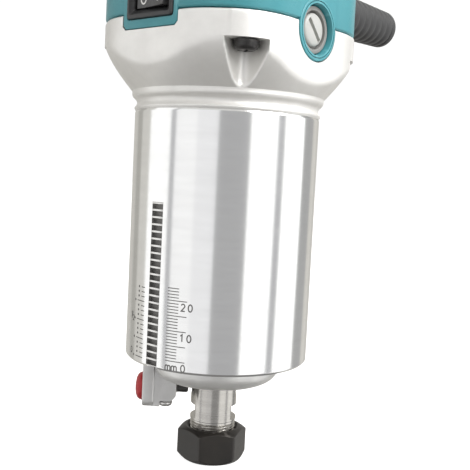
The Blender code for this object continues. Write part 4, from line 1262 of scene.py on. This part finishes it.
@dataclass
class SpeedDial:
    """Thumbwheel under the cover's window, numbered one to six round its rim.

    Attributes:
        centre: Middle of the wheel.
        radius: Radius over the ribs.
        half_width: Half of its width.
        ribs: Number of ribs.
        rib_depth: Depth of the gaps between them.
        band_depth: How far the plain middle is turned down.
    """

    centre: Vector = field(default_factory=lambda: Vector((*DIAL_AT, 151.0)))
    radius: float = 11.0
    half_width: float = 2.6
    ribs: int = 60
    rib_depth: float = 0.42
    band_depth: float = 0.28

    def rim(self, angle: float, across: float) -> float:
        """Radius of the wheel: ribbed at both sides, plain in the middle."""
        rib = self.rib_depth * (0.5 - 0.5 * math.cos(self.ribs * angle))
        share = ease(abs(across), 1.15, 1.4)
        edge = 0.35 * ease(abs(across), self.half_width - 0.45, self.half_width)
        return self.radius - self.band_depth * (1 - share) - rib * share - edge

    def build(self) -> None:
        """Make the wheel with its shaft and its numbers."""
        frame = axis_frame(self.centre, Vector((0, 1, 0)))
        angles = even_angles(self.ribs * 6)
        loops = []
        for across in [-self.half_width, -2.35, -2.1, -1.4, -1.15, 1.15, 1.4, 2.1, 2.35,
                       self.half_width]:
            loops.append([frame @ Vector((self.rim(a, across) * math.cos(a),
                                          self.rim(a, across) * math.sin(a), across))
                          for a in angles])
        for radius, across in ((7.0, self.half_width), (6.6, self.half_width - 0.5),
                               (2.6, self.half_width - 0.5), (1.8, self.half_width + 0.2),
                               (1.8, self.half_width + 5.6), (1.5, self.half_width + 6.0)):
            loops.append([frame @ Vector((radius * math.cos(a), radius * math.sin(a), across))
                          for a in angles])
        wheel = Forge.skin("dial_wheel", loops)
        mount(wheel, "dial", BLACK, "speed_dial")

        def wrap(along: float, up: float, above: float) -> Vector:
            """Point over the plain middle of the rim."""
            reach = self.radius - self.band_depth + above
            angle = along / self.radius
            return self.centre + Vector((math.sin(angle) * reach, up, math.cos(angle) * reach))

        numbers = Marks("dial_numbers", wrap, 0.3)
        for i, digit in enumerate((Glyph.ONE, Glyph.TWO, Glyph.THREE, Glyph.FOUR, Glyph.FIVE,
                                   Glyph.SIX)):
            numbers.glyph(digit, -0.55 + math.radians(60) * i * self.radius, -0.9, 1.8)
        numbers.finish("dial", WHITE_MARK)


@dataclass
class CordGuard:
    """Tapered rubber guard through the head's back wall, open along its middle.

    Attributes:
        bore: Radius of the way through it.
        tip: Distance of its outer end from the tool axis.
        root_radius: Radius where its taper starts.
        taper: How much thinner it is where the taper ends.
        taper_start: Distance from the tool axis where the taper starts.
        taper_length: Length of the taper.
        ring_gap: Distance from ring to ring.
        ring_depth: Depth of the gaps between the rings.
        ringed: Distances between which it has rings.
    """

    bore: float = 4.3
    tip: float = 102.0
    root_radius: float = 9.4
    taper: float = 1.5
    taper_start: float = 42.9
    taper_length: float = 58.3
    ring_gap: float = 4.6
    ring_depth: float = 0.4
    ringed: Point = (60.5, 99.0)

    def build(self) -> bpy.types.Object:
        """Make the guard, with soft rings along its outer half."""
        outer: list[Point] = [(9.25, 29.5), (9.25, 32.1), (7.4, 32.1), (7.4, 39.9), (9.0, 39.9),
                              (9.35, 40.4), (self.root_radius, 41.2),
                              (self.root_radius, self.taper_start)]
        start, stop = self.ringed
        for along in span(44.0, 101.2, 0.65):
            radius = self.root_radius - self.taper * (along - self.taper_start) / self.taper_length
            wave = math.sin(math.pi * (along - 62.0) / self.ring_gap)
            if start < along < stop:
                radius -= self.ring_depth * ease(abs(wave), 0.82, 0.25)
            outer.append((radius, along))
        outer += rounded([(7.9, 101.2, 0), (7.7, self.tip, 0.7), (self.bore + 0.8, self.tip, 0)],
                         closed=False, steps=3)[1:]
        profile = outer + [(self.bore, self.tip - 0.8), (self.bore, 29.5)]
        frame = level_frame(GUARD_HEIGHT, (0, 1, 0))
        guard = Forge.revolve("guard", profile, 80, frame, sharp=36.0)
        return mount(guard, "housing", RUBBER, "cord_guard")


@dataclass
class BrushPort:
    """Brush holder's rim and its slotted cap, on one side of the head.

    Attributes:
        side: 1 for +X and -1 for -X.
        label: The side's name.
        slot_turn: Lean of the cap's slot in degrees.
    """

    side: int
    label: str
    slot_turn: float = 43.0

    def build(self) -> None:
        """Make the holder and the cap."""
        frame = level_frame(BRUSH_HEIGHT, (self.side, 0, 0))
        profile = [(0, 26.0), (4.9, 26.0), (4.9, 33.6), (6.1, 33.6), (6.1, 35.2), (6.25, 35.45),
                   (6.5, 35.5), (7.3, 35.5), (7.5, 35.4), (7.6, 35.2), (7.6, 34.2), (6.6, 34.2),
                   (6.6, 14.0), (0, 14.0)]
        holder = Forge.revolve(f"holder_{self.label}", profile, 80, frame, ring=False)
        channel = Forge.block(f"holder_channel_{self.label}", (-2.7, -4.2, 12.0), (2.7, 4.2, 26.5),
                              frame)
        Forge.combine(holder, [channel])
        mount(holder, "housing", RIM_GREY, f"brush_holder_{self.label}")

        profile = [(0, 35.6), (4.3, 35.55), (4.7, 35.4), (5.05, 35.2), (5.3, 34.85), (5.35, 34.5),
                   (5.35, 33.95), (4.6, 33.95), (4.6, 27.4), (0, 27.4)]
        cap = Forge.revolve(f"cap_{self.label}", profile, 72, frame, ring=False)
        lean = Matrix.Rotation(math.radians(self.slot_turn), 4, "X")
        at = Matrix.Translation((0, 0, BRUSH_HEIGHT)) @ lean
        inner, outer = sorted((34.3 * self.side, 38.0 * self.side))
        slot = Forge.block(f"slot_{self.label}", (inner, -0.75, -4.4), (outer, 0.75, 4.4), at)
        Forge.combine(cap, [slot])
        mount(cap, "housing", GREY, f"brush_cap_{self.label}")


@dataclass
class Screw:
    """Pan head screw with a cross recess.

    Attributes:
        name: Name of the node that it stands for.
        at: Point on its axis, at height zero.
        face: Height of the head's outer face.
        seat: Height of the head's underside.
        end: Height of the shank's end.
        head: Radius of the head.
        shank: Radius of the shank.
        finish: Its finish.
        turn: How far the recess is turned, in degrees.
    """

    name: str
    at: Vector
    face: float
    seat: float
    end: float
    head: float
    shank: float
    finish: Finish
    turn: float = 0.0

    def build(self) -> bpy.types.Object:
        """Make the screw."""
        up = 1.0 if self.face > self.seat else -1.0
        thick = abs(self.face - self.seat)
        frame = Matrix.Translation((self.at.x, self.at.y, self.seat)) @ Matrix.Rotation(
            math.radians(self.turn), 4, "Z") @ Matrix.Diagonal((1, up, up, 1))
        head, shank = self.head, self.shank
        length = abs(self.end - self.seat)
        profile = [(0, thick), (head * 0.45, thick * 0.985), (head * 0.68, thick * 0.93),
                   (head * 0.86, thick * 0.78), (head * 0.965, thick * 0.52), (head, thick * 0.28),
                   (head, 0.12), (head - 0.12, 0), (shank, 0), (shank, -length + 0.4),
                   (shank - 0.4, -length), (0, -length)]
        screw = Forge.revolve(f"{self.name}_screw", profile, 56, frame, ring=False)
        reach, half, deep = head * 0.56, max(0.34, head * 0.12), thick * 0.5
        cross = [(half, half), (reach, half * 0.75), (reach, -half * 0.75), (half, -half),
                 (half * 0.75, -reach), (-half * 0.75, -reach), (-half, -half),
                 (-reach, -half * 0.75), (-reach, half * 0.75), (-half, half),
                 (-half * 0.75, reach), (half * 0.75, reach)]
        recess = Forge.slab(f"{self.name}_recess", cross, thick - deep, thick + 1.0, frame)
        Forge.combine(screw, [recess])
        return mount(screw, "housing", self.finish, self.name)


class ScrewKit:
    """All the screws that show, where the frame has them."""

    def build(self) -> None:
        """Make every screw."""
        for i, azimuth in enumerate(CORNERS, start=1):
            Screw(name=f"head_screw_{i}", at=at_azimuth(azimuth, HEAD_SCREW_REACH, 0),
                  face=103.25, seat=106.5, end=127.0, head=4.15, shank=2.0,
                  finish=SCREW_STEEL, turn=20.0 + 31.0 * i).build()
            Screw(name=f"cover_screw_{i}", at=at_azimuth(azimuth, COVER_SCREW_REACH, 0),
                  face=159.4, seat=157.5, end=142.5, head=2.9, shank=1.7,
                  finish=SCREW_STEEL, turn=12.0 + 37.0 * i).build()
        for i, side in enumerate((-1, 1), start=1):
            Screw(name=f"lock_screw_{i}",
                  at=LOCK.point(LOCK.screw_reach, LOCK.screw_aside * side, 0.0),
                  face=-17.9, seat=-16.2, end=7.0, head=2.5, shank=1.5,
                  finish=GROUND_STEEL, turn=25.0 * i).build()


# Shaft lock


@dataclass(frozen=True)
class ShaftLock:
    """Block under the barrel with the red button and its pin.

    Attributes:
        azimuth: Where the button points, in degrees from -Y towards +X.
        height: Height of the pin's axis.
        inner: Distance of the block's inner face from the tool axis.
        outer: Distance of its outer face.
        half_width: Half of its width.
        low: Height of its underside.
        screw_reach: Distance of its screws along the lock's axis.
        screw_aside: Their distance to each side.
    """

    azimuth: float = -49.0
    height: float = -12.8
    inner: float = 13.4
    outer: float = 25.4
    half_width: float = 9.0
    low: float = -18.2
    screw_reach: float = 17.2
    screw_aside: float = 6.2

    def point(self, along: float, aside: float, height: float) -> Vector:
        """Point by its reach along the lock's axis, its side offset and its height."""
        return (direction(self.azimuth) * along + direction(self.azimuth + 90.0) * aside
                + Vector((0, 0, height)))

    def frame(self) -> Matrix:
        """Frame whose X runs along the lock's axis, Y to its side and Z up."""
        x, y = direction(self.azimuth), direction(self.azimuth + 90.0)
        return Matrix((x, y, Vector((0, 0, 1)))).transposed().to_4x4()

    def axis(self) -> Matrix:
        """Frame on the pin's axis, its Z pointing outwards."""
        return level_frame(self.height, direction(self.azimuth))

    def upright(self, side: int) -> Matrix:
        """Frame on the axis of one of the lock's screws."""
        return Matrix.Translation(self.point(self.screw_reach, self.screw_aside * side, 0.0))

    def notch(self, name: str) -> bpy.types.Object:
        """Cutter for the pocket that the block sits in."""
        reach = self.half_width + 0.3
        return Forge.block(name, (self.inner - 0.3, -reach, -30.0), (40.0, reach, 0.1),
                           self.frame())

    def threads(self, name: str) -> list[bpy.types.Object]:
        """Cutters for the threads that the block's two screws go into."""
        return [Forge.peg(f"{name}_{side}", 1.8, -1.0, 8.0, self.upright(side), 24)
                for side in (-1, 1)]

    def build(self) -> None:
        """Make the block, the button and the pin."""
        frame = self.frame()
        wall = self.outer - 4.2
        section = rounded([(self.inner, -0.35, 0.4), (self.inner, self.low + 4.1, 0.5),
                           (self.inner + 3.6, self.low + 0.3, 0.6), (wall + 1.0, self.low + 0.3, 0),
                           (wall + 1.0, -0.35, 0)], steps=3)
        across = Matrix(((1, 0, 0, 0), (0, 0, 1, 0), (0, 1, 0, 0), (0, 0, 0, 1)))
        core = Forge.slab("lock_core", section, -self.half_width + 0.7, self.half_width - 0.7,
                          frame @ across, 0.45)
        plate_outline = rounded([(-self.half_width, -0.3, 1.2), (-self.half_width, self.low, 3.0),
                                 (self.half_width, self.low, 3.0), (self.half_width, -0.3, 1.2)],
                                steps=6)
        facing = Matrix(((0, 0, 1, 0), (1, 0, 0, 0), (0, 1, 0, 0), (0, 0, 0, 1)))
        plate = Forge.slab("lock_body", plate_outline, wall, self.outer, frame @ facing, 0.6)
        Forge.combine(plate, [core], "UNION")
        tools = [Forge.peg("pin_bore", 2.0, 8.0, 30.0, self.axis(), 40),
                 Forge.peg("spring_bore", 3.6, 15.8, 30.0, self.axis(), 52),
                 Forge.peg("button_bore", 5.4, 19.2, 30.0, self.axis(), 64)]
        for side in (-1, 1):
            tools.append(Forge.peg(f"screw_sink_{side}", 2.8, -20.0, -15.9, self.upright(side), 44))
            tools.append(Forge.peg(f"screw_hole_{side}", 1.8, -20.0, 2.0, self.upright(side), 36))
        Forge.combine(plate, tools)
        mount(plate, "housing", LOCK_ALLOY, "lock_block")

        profile = [(0, 28.5), (1.8, 28.45), (3.2, 28.2), (4.2, 27.75), (4.8, 27.1), (5.05, 26.3),
                   (5.1, 25.2), (5.1, 22.3), (5.0, 22.2), (0, 22.2)]
        button = Forge.revolve("red_button", profile, 80, self.axis(), ring=False)
        mount(button, "lock", RED, "lock_button")
        profile = [(0, 21.9), (1.7, 21.9), (1.7, 10.0), (1.55, 9.65), (1.2, 9.4), (0, 9.4)]
        pin = Forge.revolve("black_pin", profile, 48, self.axis(), ring=False)
        mount(pin, "lock", SCREW_STEEL, "lock_pin")


LOCK = ShaftLock()


# Spindle and collet


@dataclass
class Spindle:
    """Shaft with its collar, spanner flats and thread.

    Attributes:
        radius: Radius of the collar.
        crest: Radius over the thread.
        depth: Depth of the thread.
        lead: Advance of the thread in one turn.
        thread_top: Height where the thread starts.
        collar_low: Height of the collar's underside.
        flat: Distance of the spanner flats from the axis.
        flat_span: Heights between which the flats are.
        end: Height of its lower end.
    """

    radius: float = 8.3
    crest: float = 8.15
    depth: float = 0.62
    lead: float = 1.0
    thread_top: float = -23.8
    collar_low: float = -23.15
    flat: float = 6.5
    flat_span: Point = (-22.4, -17.6)
    end: float = -33.0

    def surface(self, angle: float, height: float) -> float:
        """Outer radius below the bearing."""
        if height < self.thread_top:
            turn = (height / self.lead + angle / math.tau) % 1.0
            groove = 1.0 - min(1.0, abs(turn - 0.5) * 2.6)
            fade = ease(height, self.thread_top, -24.3) * ease(height, self.end, self.end + 0.8)
            return self.crest - self.depth * groove * fade
        if height < self.collar_low:
            return self.crest
        radius = self.radius
        if self.flat_span[0] < height < self.flat_span[1]:
            lean = abs(math.cos(angle + math.pi / 2 - math.radians(LOCK.azimuth)))
            if lean > 1e-6:
                radius = min(radius, self.flat / lean)
        return radius

    def build(self) -> bpy.types.Object:
        """Make the spindle."""
        angles = even_angles(96)
        loops = round_loops(angles, [
            (3.3, 134.4), (3.7, 134.0), (3.7, 126.0), (5.0, 125.6), (5.0, 12.6), (5.7, 12.0),
            (5.7, 1.8), (8.0, 1.7), (self.radius, 1.4)])
        heights = [0.0, -10.0, -17.56, -17.64, -22.36, -22.44, -22.9, self.collar_low, -23.35]
        heights += span(-23.6, self.end + 0.5, 0.11)
        loops += [polar_loop(angles, lambda a, h=h: self.surface(a, h), h) for h in heights]
        loops += round_loops(angles, [(7.5, self.end), (6.5, self.end), (4.25, -18.4)])
        spindle = Forge.skin("shaft", loops, sharp=40.0)
        Forge.combine(spindle, [Forge.peg("pin_way", 2.2, -12.0, 12.0, LOCK.axis(), 44)])
        return mount(spindle, "spindle", STEEL, "spindle")


@dataclass
class ColletNut:
    """Hexagon nut with turned chamfers, and the slotted collet inside it.

    Attributes:
        across: Distance across its flats.
        top: Height of its upper face.
        low: Height of its lower face.
        azimuth: Where one of its flats faces.
        turned: Greatest radius that it is turned to.
        top_radius: Radius at its upper face.
        top_chamfer: Rise and run of the chamfer under it.
        low_radius: Radius at its lower face.
        low_chamfer: Rise and run of the chamfer over it.
    """

    across: float = 22.0
    top: float = -26.0
    low: float = -37.8
    azimuth: float = 51.0
    turned: float = 12.62
    top_radius: float = 9.9
    top_chamfer: Point = (3.3, 1.9)
    low_radius: float = 10.4
    low_chamfer: Point = (2.8, 2.4)

    def outline(self, angle: float, height: float) -> float:
        """Radius of the nut: the hexagon, trimmed by the chamfers."""
        azimuth = math.degrees(angle) + 90.0
        off = (azimuth - self.azimuth + 30.0) % 60.0 - 30.0
        hexagon = self.across / 2 / math.cos(math.radians(off))
        top_rise, top_run = self.top_chamfer
        low_rise, low_run = self.low_chamfer
        turned = min(self.top_radius + (self.top - height) * top_rise / top_run,
                     self.low_radius + (height - self.low) * low_rise / low_run, self.turned)
        return soft_min(hexagon, turned, 0.22)

    def build(self) -> None:
        """Make the nut and the collet."""
        angles = [math.radians(self.azimuth - 90.0) + a for a in even_angles(180)]
        heights = span(self.top, self.top - 2.2, 0.14) + span(self.top - 2.6, self.low + 3.0, 1.2)
        heights += span(self.low + 2.7, self.low, 0.15)
        loops = round_loops(angles, [(9.75, self.top)])
        loops += [polar_loop(angles, lambda a, h=h: self.outline(a, h) - (
            0.06 if h in (self.top, self.low) else 0.0), h) for h in heights]
        loops += round_loops(angles, [
            (4.95, self.low), (4.6, self.low + 0.35), (4.6, -37.2), (7.4, -34.5), (8.45, -33.9),
            (8.45, self.top - 0.95), (9.1, self.top - 0.3), (9.2, self.top)])
        nut = Forge.skin("nut", loops, ring=True, sharp=26.0)
        mount(nut, "nut", BLACK_STEEL, "collet_nut")

        profile = [(3.2, -18.9), (3.55, -18.9), (3.85, -19.2), (6.2, -33.9), (6.2, -34.6),
                   (5.0, -36.1), (3.6, -36.1), (3.2, -35.7)]
        collet = Forge.revolve("slotted_collet", profile, 72, sharp=28.0)
        tools = []
        for i in range(2):
            turn = Matrix.Rotation(math.radians(180 * i + 20), 4, "Z")
            tools.append(Forge.block(f"collet_slot_{i}", (-0.35, 0.0, -40.0), (0.35, 9.0, -21.5),
                                     turn))
        Forge.combine(collet, tools)
        mount(collet, "collet", GROUND_STEEL, "collet")


class InnerParts:
    """The nodes of the frame that keep their own shape."""

    def dress(self, nodes: dict[str, bpy.types.Object]) -> None:
        """Give every node that is still shown the finish of its slot.

        Args:
            nodes: The frame's nodes by name.
        """
        for name in sorted(nodes):
            node = nodes[name]
            if node.hide_render:
                continue
            slot = node.data.materials[0].name.split(".")[0] if node.data.materials else ""
            finish = BY_SLOT.get(slot, GREY)
            node.data.materials.clear()
            node.data.materials.append(finish.material())
            LOG.info("%s keeps its shape, in %s", name, finish.name)


# Studio


@dataclass
class Studio:
    """Pale floor, soft light and the camera.

    Attributes:
        floor: Height of the floor.
        azimuth: Camera's azimuth in degrees from -Y towards +X.
        distance: Its distance from the tool axis.
        height: Its height above the barrel's lower end.
        turn: Turn to the side of the axis, in degrees.
        tilt: Tilt above the horizon, in degrees.
        roll: Lean of the picture, in degrees.
        lens: Focal length on a 36 mm sensor.
        screen_reach: Distance of the screens from the tool axis.
    """

    floor: float = -37.8
    azimuth: float = 41.0
    distance: float = 282.1
    height: float = 66.2
    turn: float = -0.985
    tilt: float = -4.54
    roll: float = 2.87
    lens: float = 60.28
    screen_reach: float = 1500.0

    def build(self) -> None:
        """Set up everything round the object."""
        self.sky()
        self.ground()
        self.screens()
        self.lamps()
        self.camera()
        bpy.context.scene.view_settings.view_transform = "Standard"

    def sky(self) -> None:
        """Even white surroundings, brighter to the eye than as a light."""
        world = bpy.data.worlds.new("surroundings")
        bpy.context.scene.world = world
        world.use_nodes = True
        tree = world.node_tree
        light = tree.nodes["Background"]
        place = tree.nodes.new("ShaderNodeTexCoord")
        split = tree.nodes.new("ShaderNodeSeparateXYZ")
        fall = tree.nodes.new("ShaderNodeMapRange")
        tree.links.new(place.outputs["Generated"], split.inputs["Vector"])
        tree.links.new(split.outputs["Z"], fall.inputs["Value"])
        for key, value in (("From Min", -0.8), ("From Max", 0.5), ("To Min", 0.24),
                           ("To Max", 0.8)):
            fall.inputs[key].default_value = value
        tree.links.new(fall.outputs["Result"], light.inputs["Strength"])
        light.inputs["Color"].default_value = (1.0, 0.99, 0.97, 1.0)
        seen = tree.nodes.new("ShaderNodeBackground")
        seen.inputs["Color"].default_value = (1.0, 1.0, 1.0, 1.0)
        seen.inputs["Strength"].default_value = 1.05
        mix = tree.nodes.new("ShaderNodeMixShader")
        ray = tree.nodes.new("ShaderNodeLightPath")
        tree.links.new(ray.outputs["Is Camera Ray"], mix.inputs["Fac"])
        tree.links.new(light.outputs["Background"], mix.inputs[1])
        tree.links.new(seen.outputs["Background"], mix.inputs[2])
        tree.links.new(mix.outputs["Shader"], tree.nodes["World Output"].inputs["Surface"])

    def ground(self) -> None:
        """Wide pale floor that the nut stands on."""
        outline = [(5200 * math.cos(a), 5200 * math.sin(a)) for a in even_angles(96)]
        floor = Forge.slab("floor", outline, self.floor - 6.0, self.floor)
        sketch = Sketch("pale_floor")
        tone = sketch.noise(9.0, 3.0)
        sketch.join(sketch.tint(tone, (0.40, 0.395, 0.385), (0.42, 0.415, 0.405)),
                    sketch.shader.inputs["Base Color"])
        sketch.join(sketch.ramp(tone, (0.2, 0.8), (0.6, 0.75)), sketch.shader.inputs["Roughness"])
        sketch.shader.inputs["Emission Color"].default_value = (1.0, 1.0, 1.0, 1.0)
        ray = sketch.add("ShaderNodeLightPath").outputs["Is Camera Ray"]
        sketch.join(sketch.ramp(ray, (0.0, 1.0), (0.0, 0.86)),
                    sketch.shader.inputs["Emission Strength"])
        floor.data.materials.append(sketch.material)
        floor.visible_glossy = False

    def screens(self) -> None:
        """Upright screens round the set, which the bright metal mirrors as soft bands."""
        bands = ((-210, -140, (0.60, 0.585, 0.55)), (-140, -125, (0.46, 0.45, 0.42)),
                 (-125, -105, (0.70, 0.685, 0.65)), (-105, -70, (1.28, 1.28, 1.28)),
                 (-70, -63, (0.52, 0.52, 0.54)), (-63, -35, (1.12, 1.12, 1.13)),
                 (-35, -9, (1.0, 1.0, 1.02)), (-9, 29, (0.49, 0.49, 0.50)),
                 (29, 65, (1.42, 1.42, 1.42)), (65, 75, (0.52, 0.52, 0.54)),
                 (75, 110, (1.5, 1.5, 1.5)), (110, 134, (0.46, 0.46, 0.46)),
                 (134, 150, (0.72, 0.70, 0.66)))
        for i, (start, stop, colour) in enumerate(bands):
            rows = []
            for height in (-1400.0, 1100.0):
                rows.append([at_azimuth(self.azimuth + a, self.screen_reach, height)
                             for a in span(start, stop, 4.0)])
            bm = bmesh.new()
            low, high = ([bm.verts.new(p) for p in row] for row in rows)
            for k in range(len(low) - 1):
                bm.faces.new((low[k], low[k + 1], high[k + 1], high[k]))
            screen = Forge.keep(f"screen_{i}", bm)
            material = bpy.data.materials.new(f"screen_light_{i}")
            material.use_nodes = True
            shader = material.node_tree.nodes["Principled BSDF"]
            shader.inputs["Base Color"].default_value = (0.0, 0.0, 0.0, 1.0)
            shader.inputs["Specular IOR Level"].default_value = 0.0
            shader.inputs["Emission Color"].default_value = (*colour, 1.0)
            shader.inputs["Emission Strength"].default_value = 1.0
            screen.data.materials.append(material)
            screen.visible_camera = False
            screen.visible_shadow = False
            screen.visible_diffuse = False

    def lamps(self) -> None:
        """Two broad soft lamps above the set."""
        for name, azimuth, reach, height, side, power in (
                ("key", 58.0, 900.0, 850.0, 900.0, 17.0),
                ("fill", -75.0, 1000.0, 800.0, 1000.0, 2.0)):
            lamp = bpy.data.lights.new(name, "AREA")
            lamp.shape = "DISK"
            lamp.size = side * MM
            lamp.energy = power
            holder = bpy.data.objects.new(name, lamp)
            bpy.context.scene.collection.objects.link(holder)
            at = at_azimuth(self.azimuth + azimuth, reach, height)
            holder.location = at * MM
            aim = Vector((0, 0, 70.0)) - at
            holder.rotation_euler = aim.to_track_quat("-Z", "Y").to_euler()
            holder.visible_camera = False
            holder.visible_glossy = name == "key"

    def camera(self) -> None:
        """Camera a little above the barrel's middle, looking slightly down."""
        lens = bpy.data.cameras.new("camera")
        lens.lens = self.lens
        lens.sensor_width = 36.0
        lens.clip_start = 0.01
        lens.clip_end = 50.0
        camera = bpy.data.objects.new("camera", lens)
        bpy.context.scene.collection.objects.link(camera)
        turns = (Matrix.Rotation(math.radians(self.azimuth + self.turn), 4, "Z")
                 @ Matrix.Rotation(math.radians(self.tilt), 4, "X")
                 @ Matrix.Rotation(math.radians(-self.roll), 4, "Y")
                 @ Matrix.Rotation(math.radians(90.0), 4, "X"))
        camera.matrix_world = Matrix.Translation(
            at_azimuth(self.azimuth, self.distance, self.height) * MM) @ turns
        bpy.context.scene.camera = camera


def main() -> None:
    """Build every sub-assembly round the frame."""
    logging.basicConfig(level=logging.INFO, format="%(name)s: %(message)s")
    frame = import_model()
    MotorCasting().build()
    HeightRack().build()
    Scales().build()
    Head().build()
    TopCover().build()
    PowerSwitch().build()
    SpeedDial().build()
    CordGuard().build()
    for side, label in ((1, "right"), (-1, "left")):
        BrushPort(side, label).build()
    ScrewKit().build()
    LOCK.build()
    Spindle().build()
    ColletNut().build()
    InnerParts().dress(frame["nodes"])
    Studio().build()


if __name__ == "__main__":
    main()
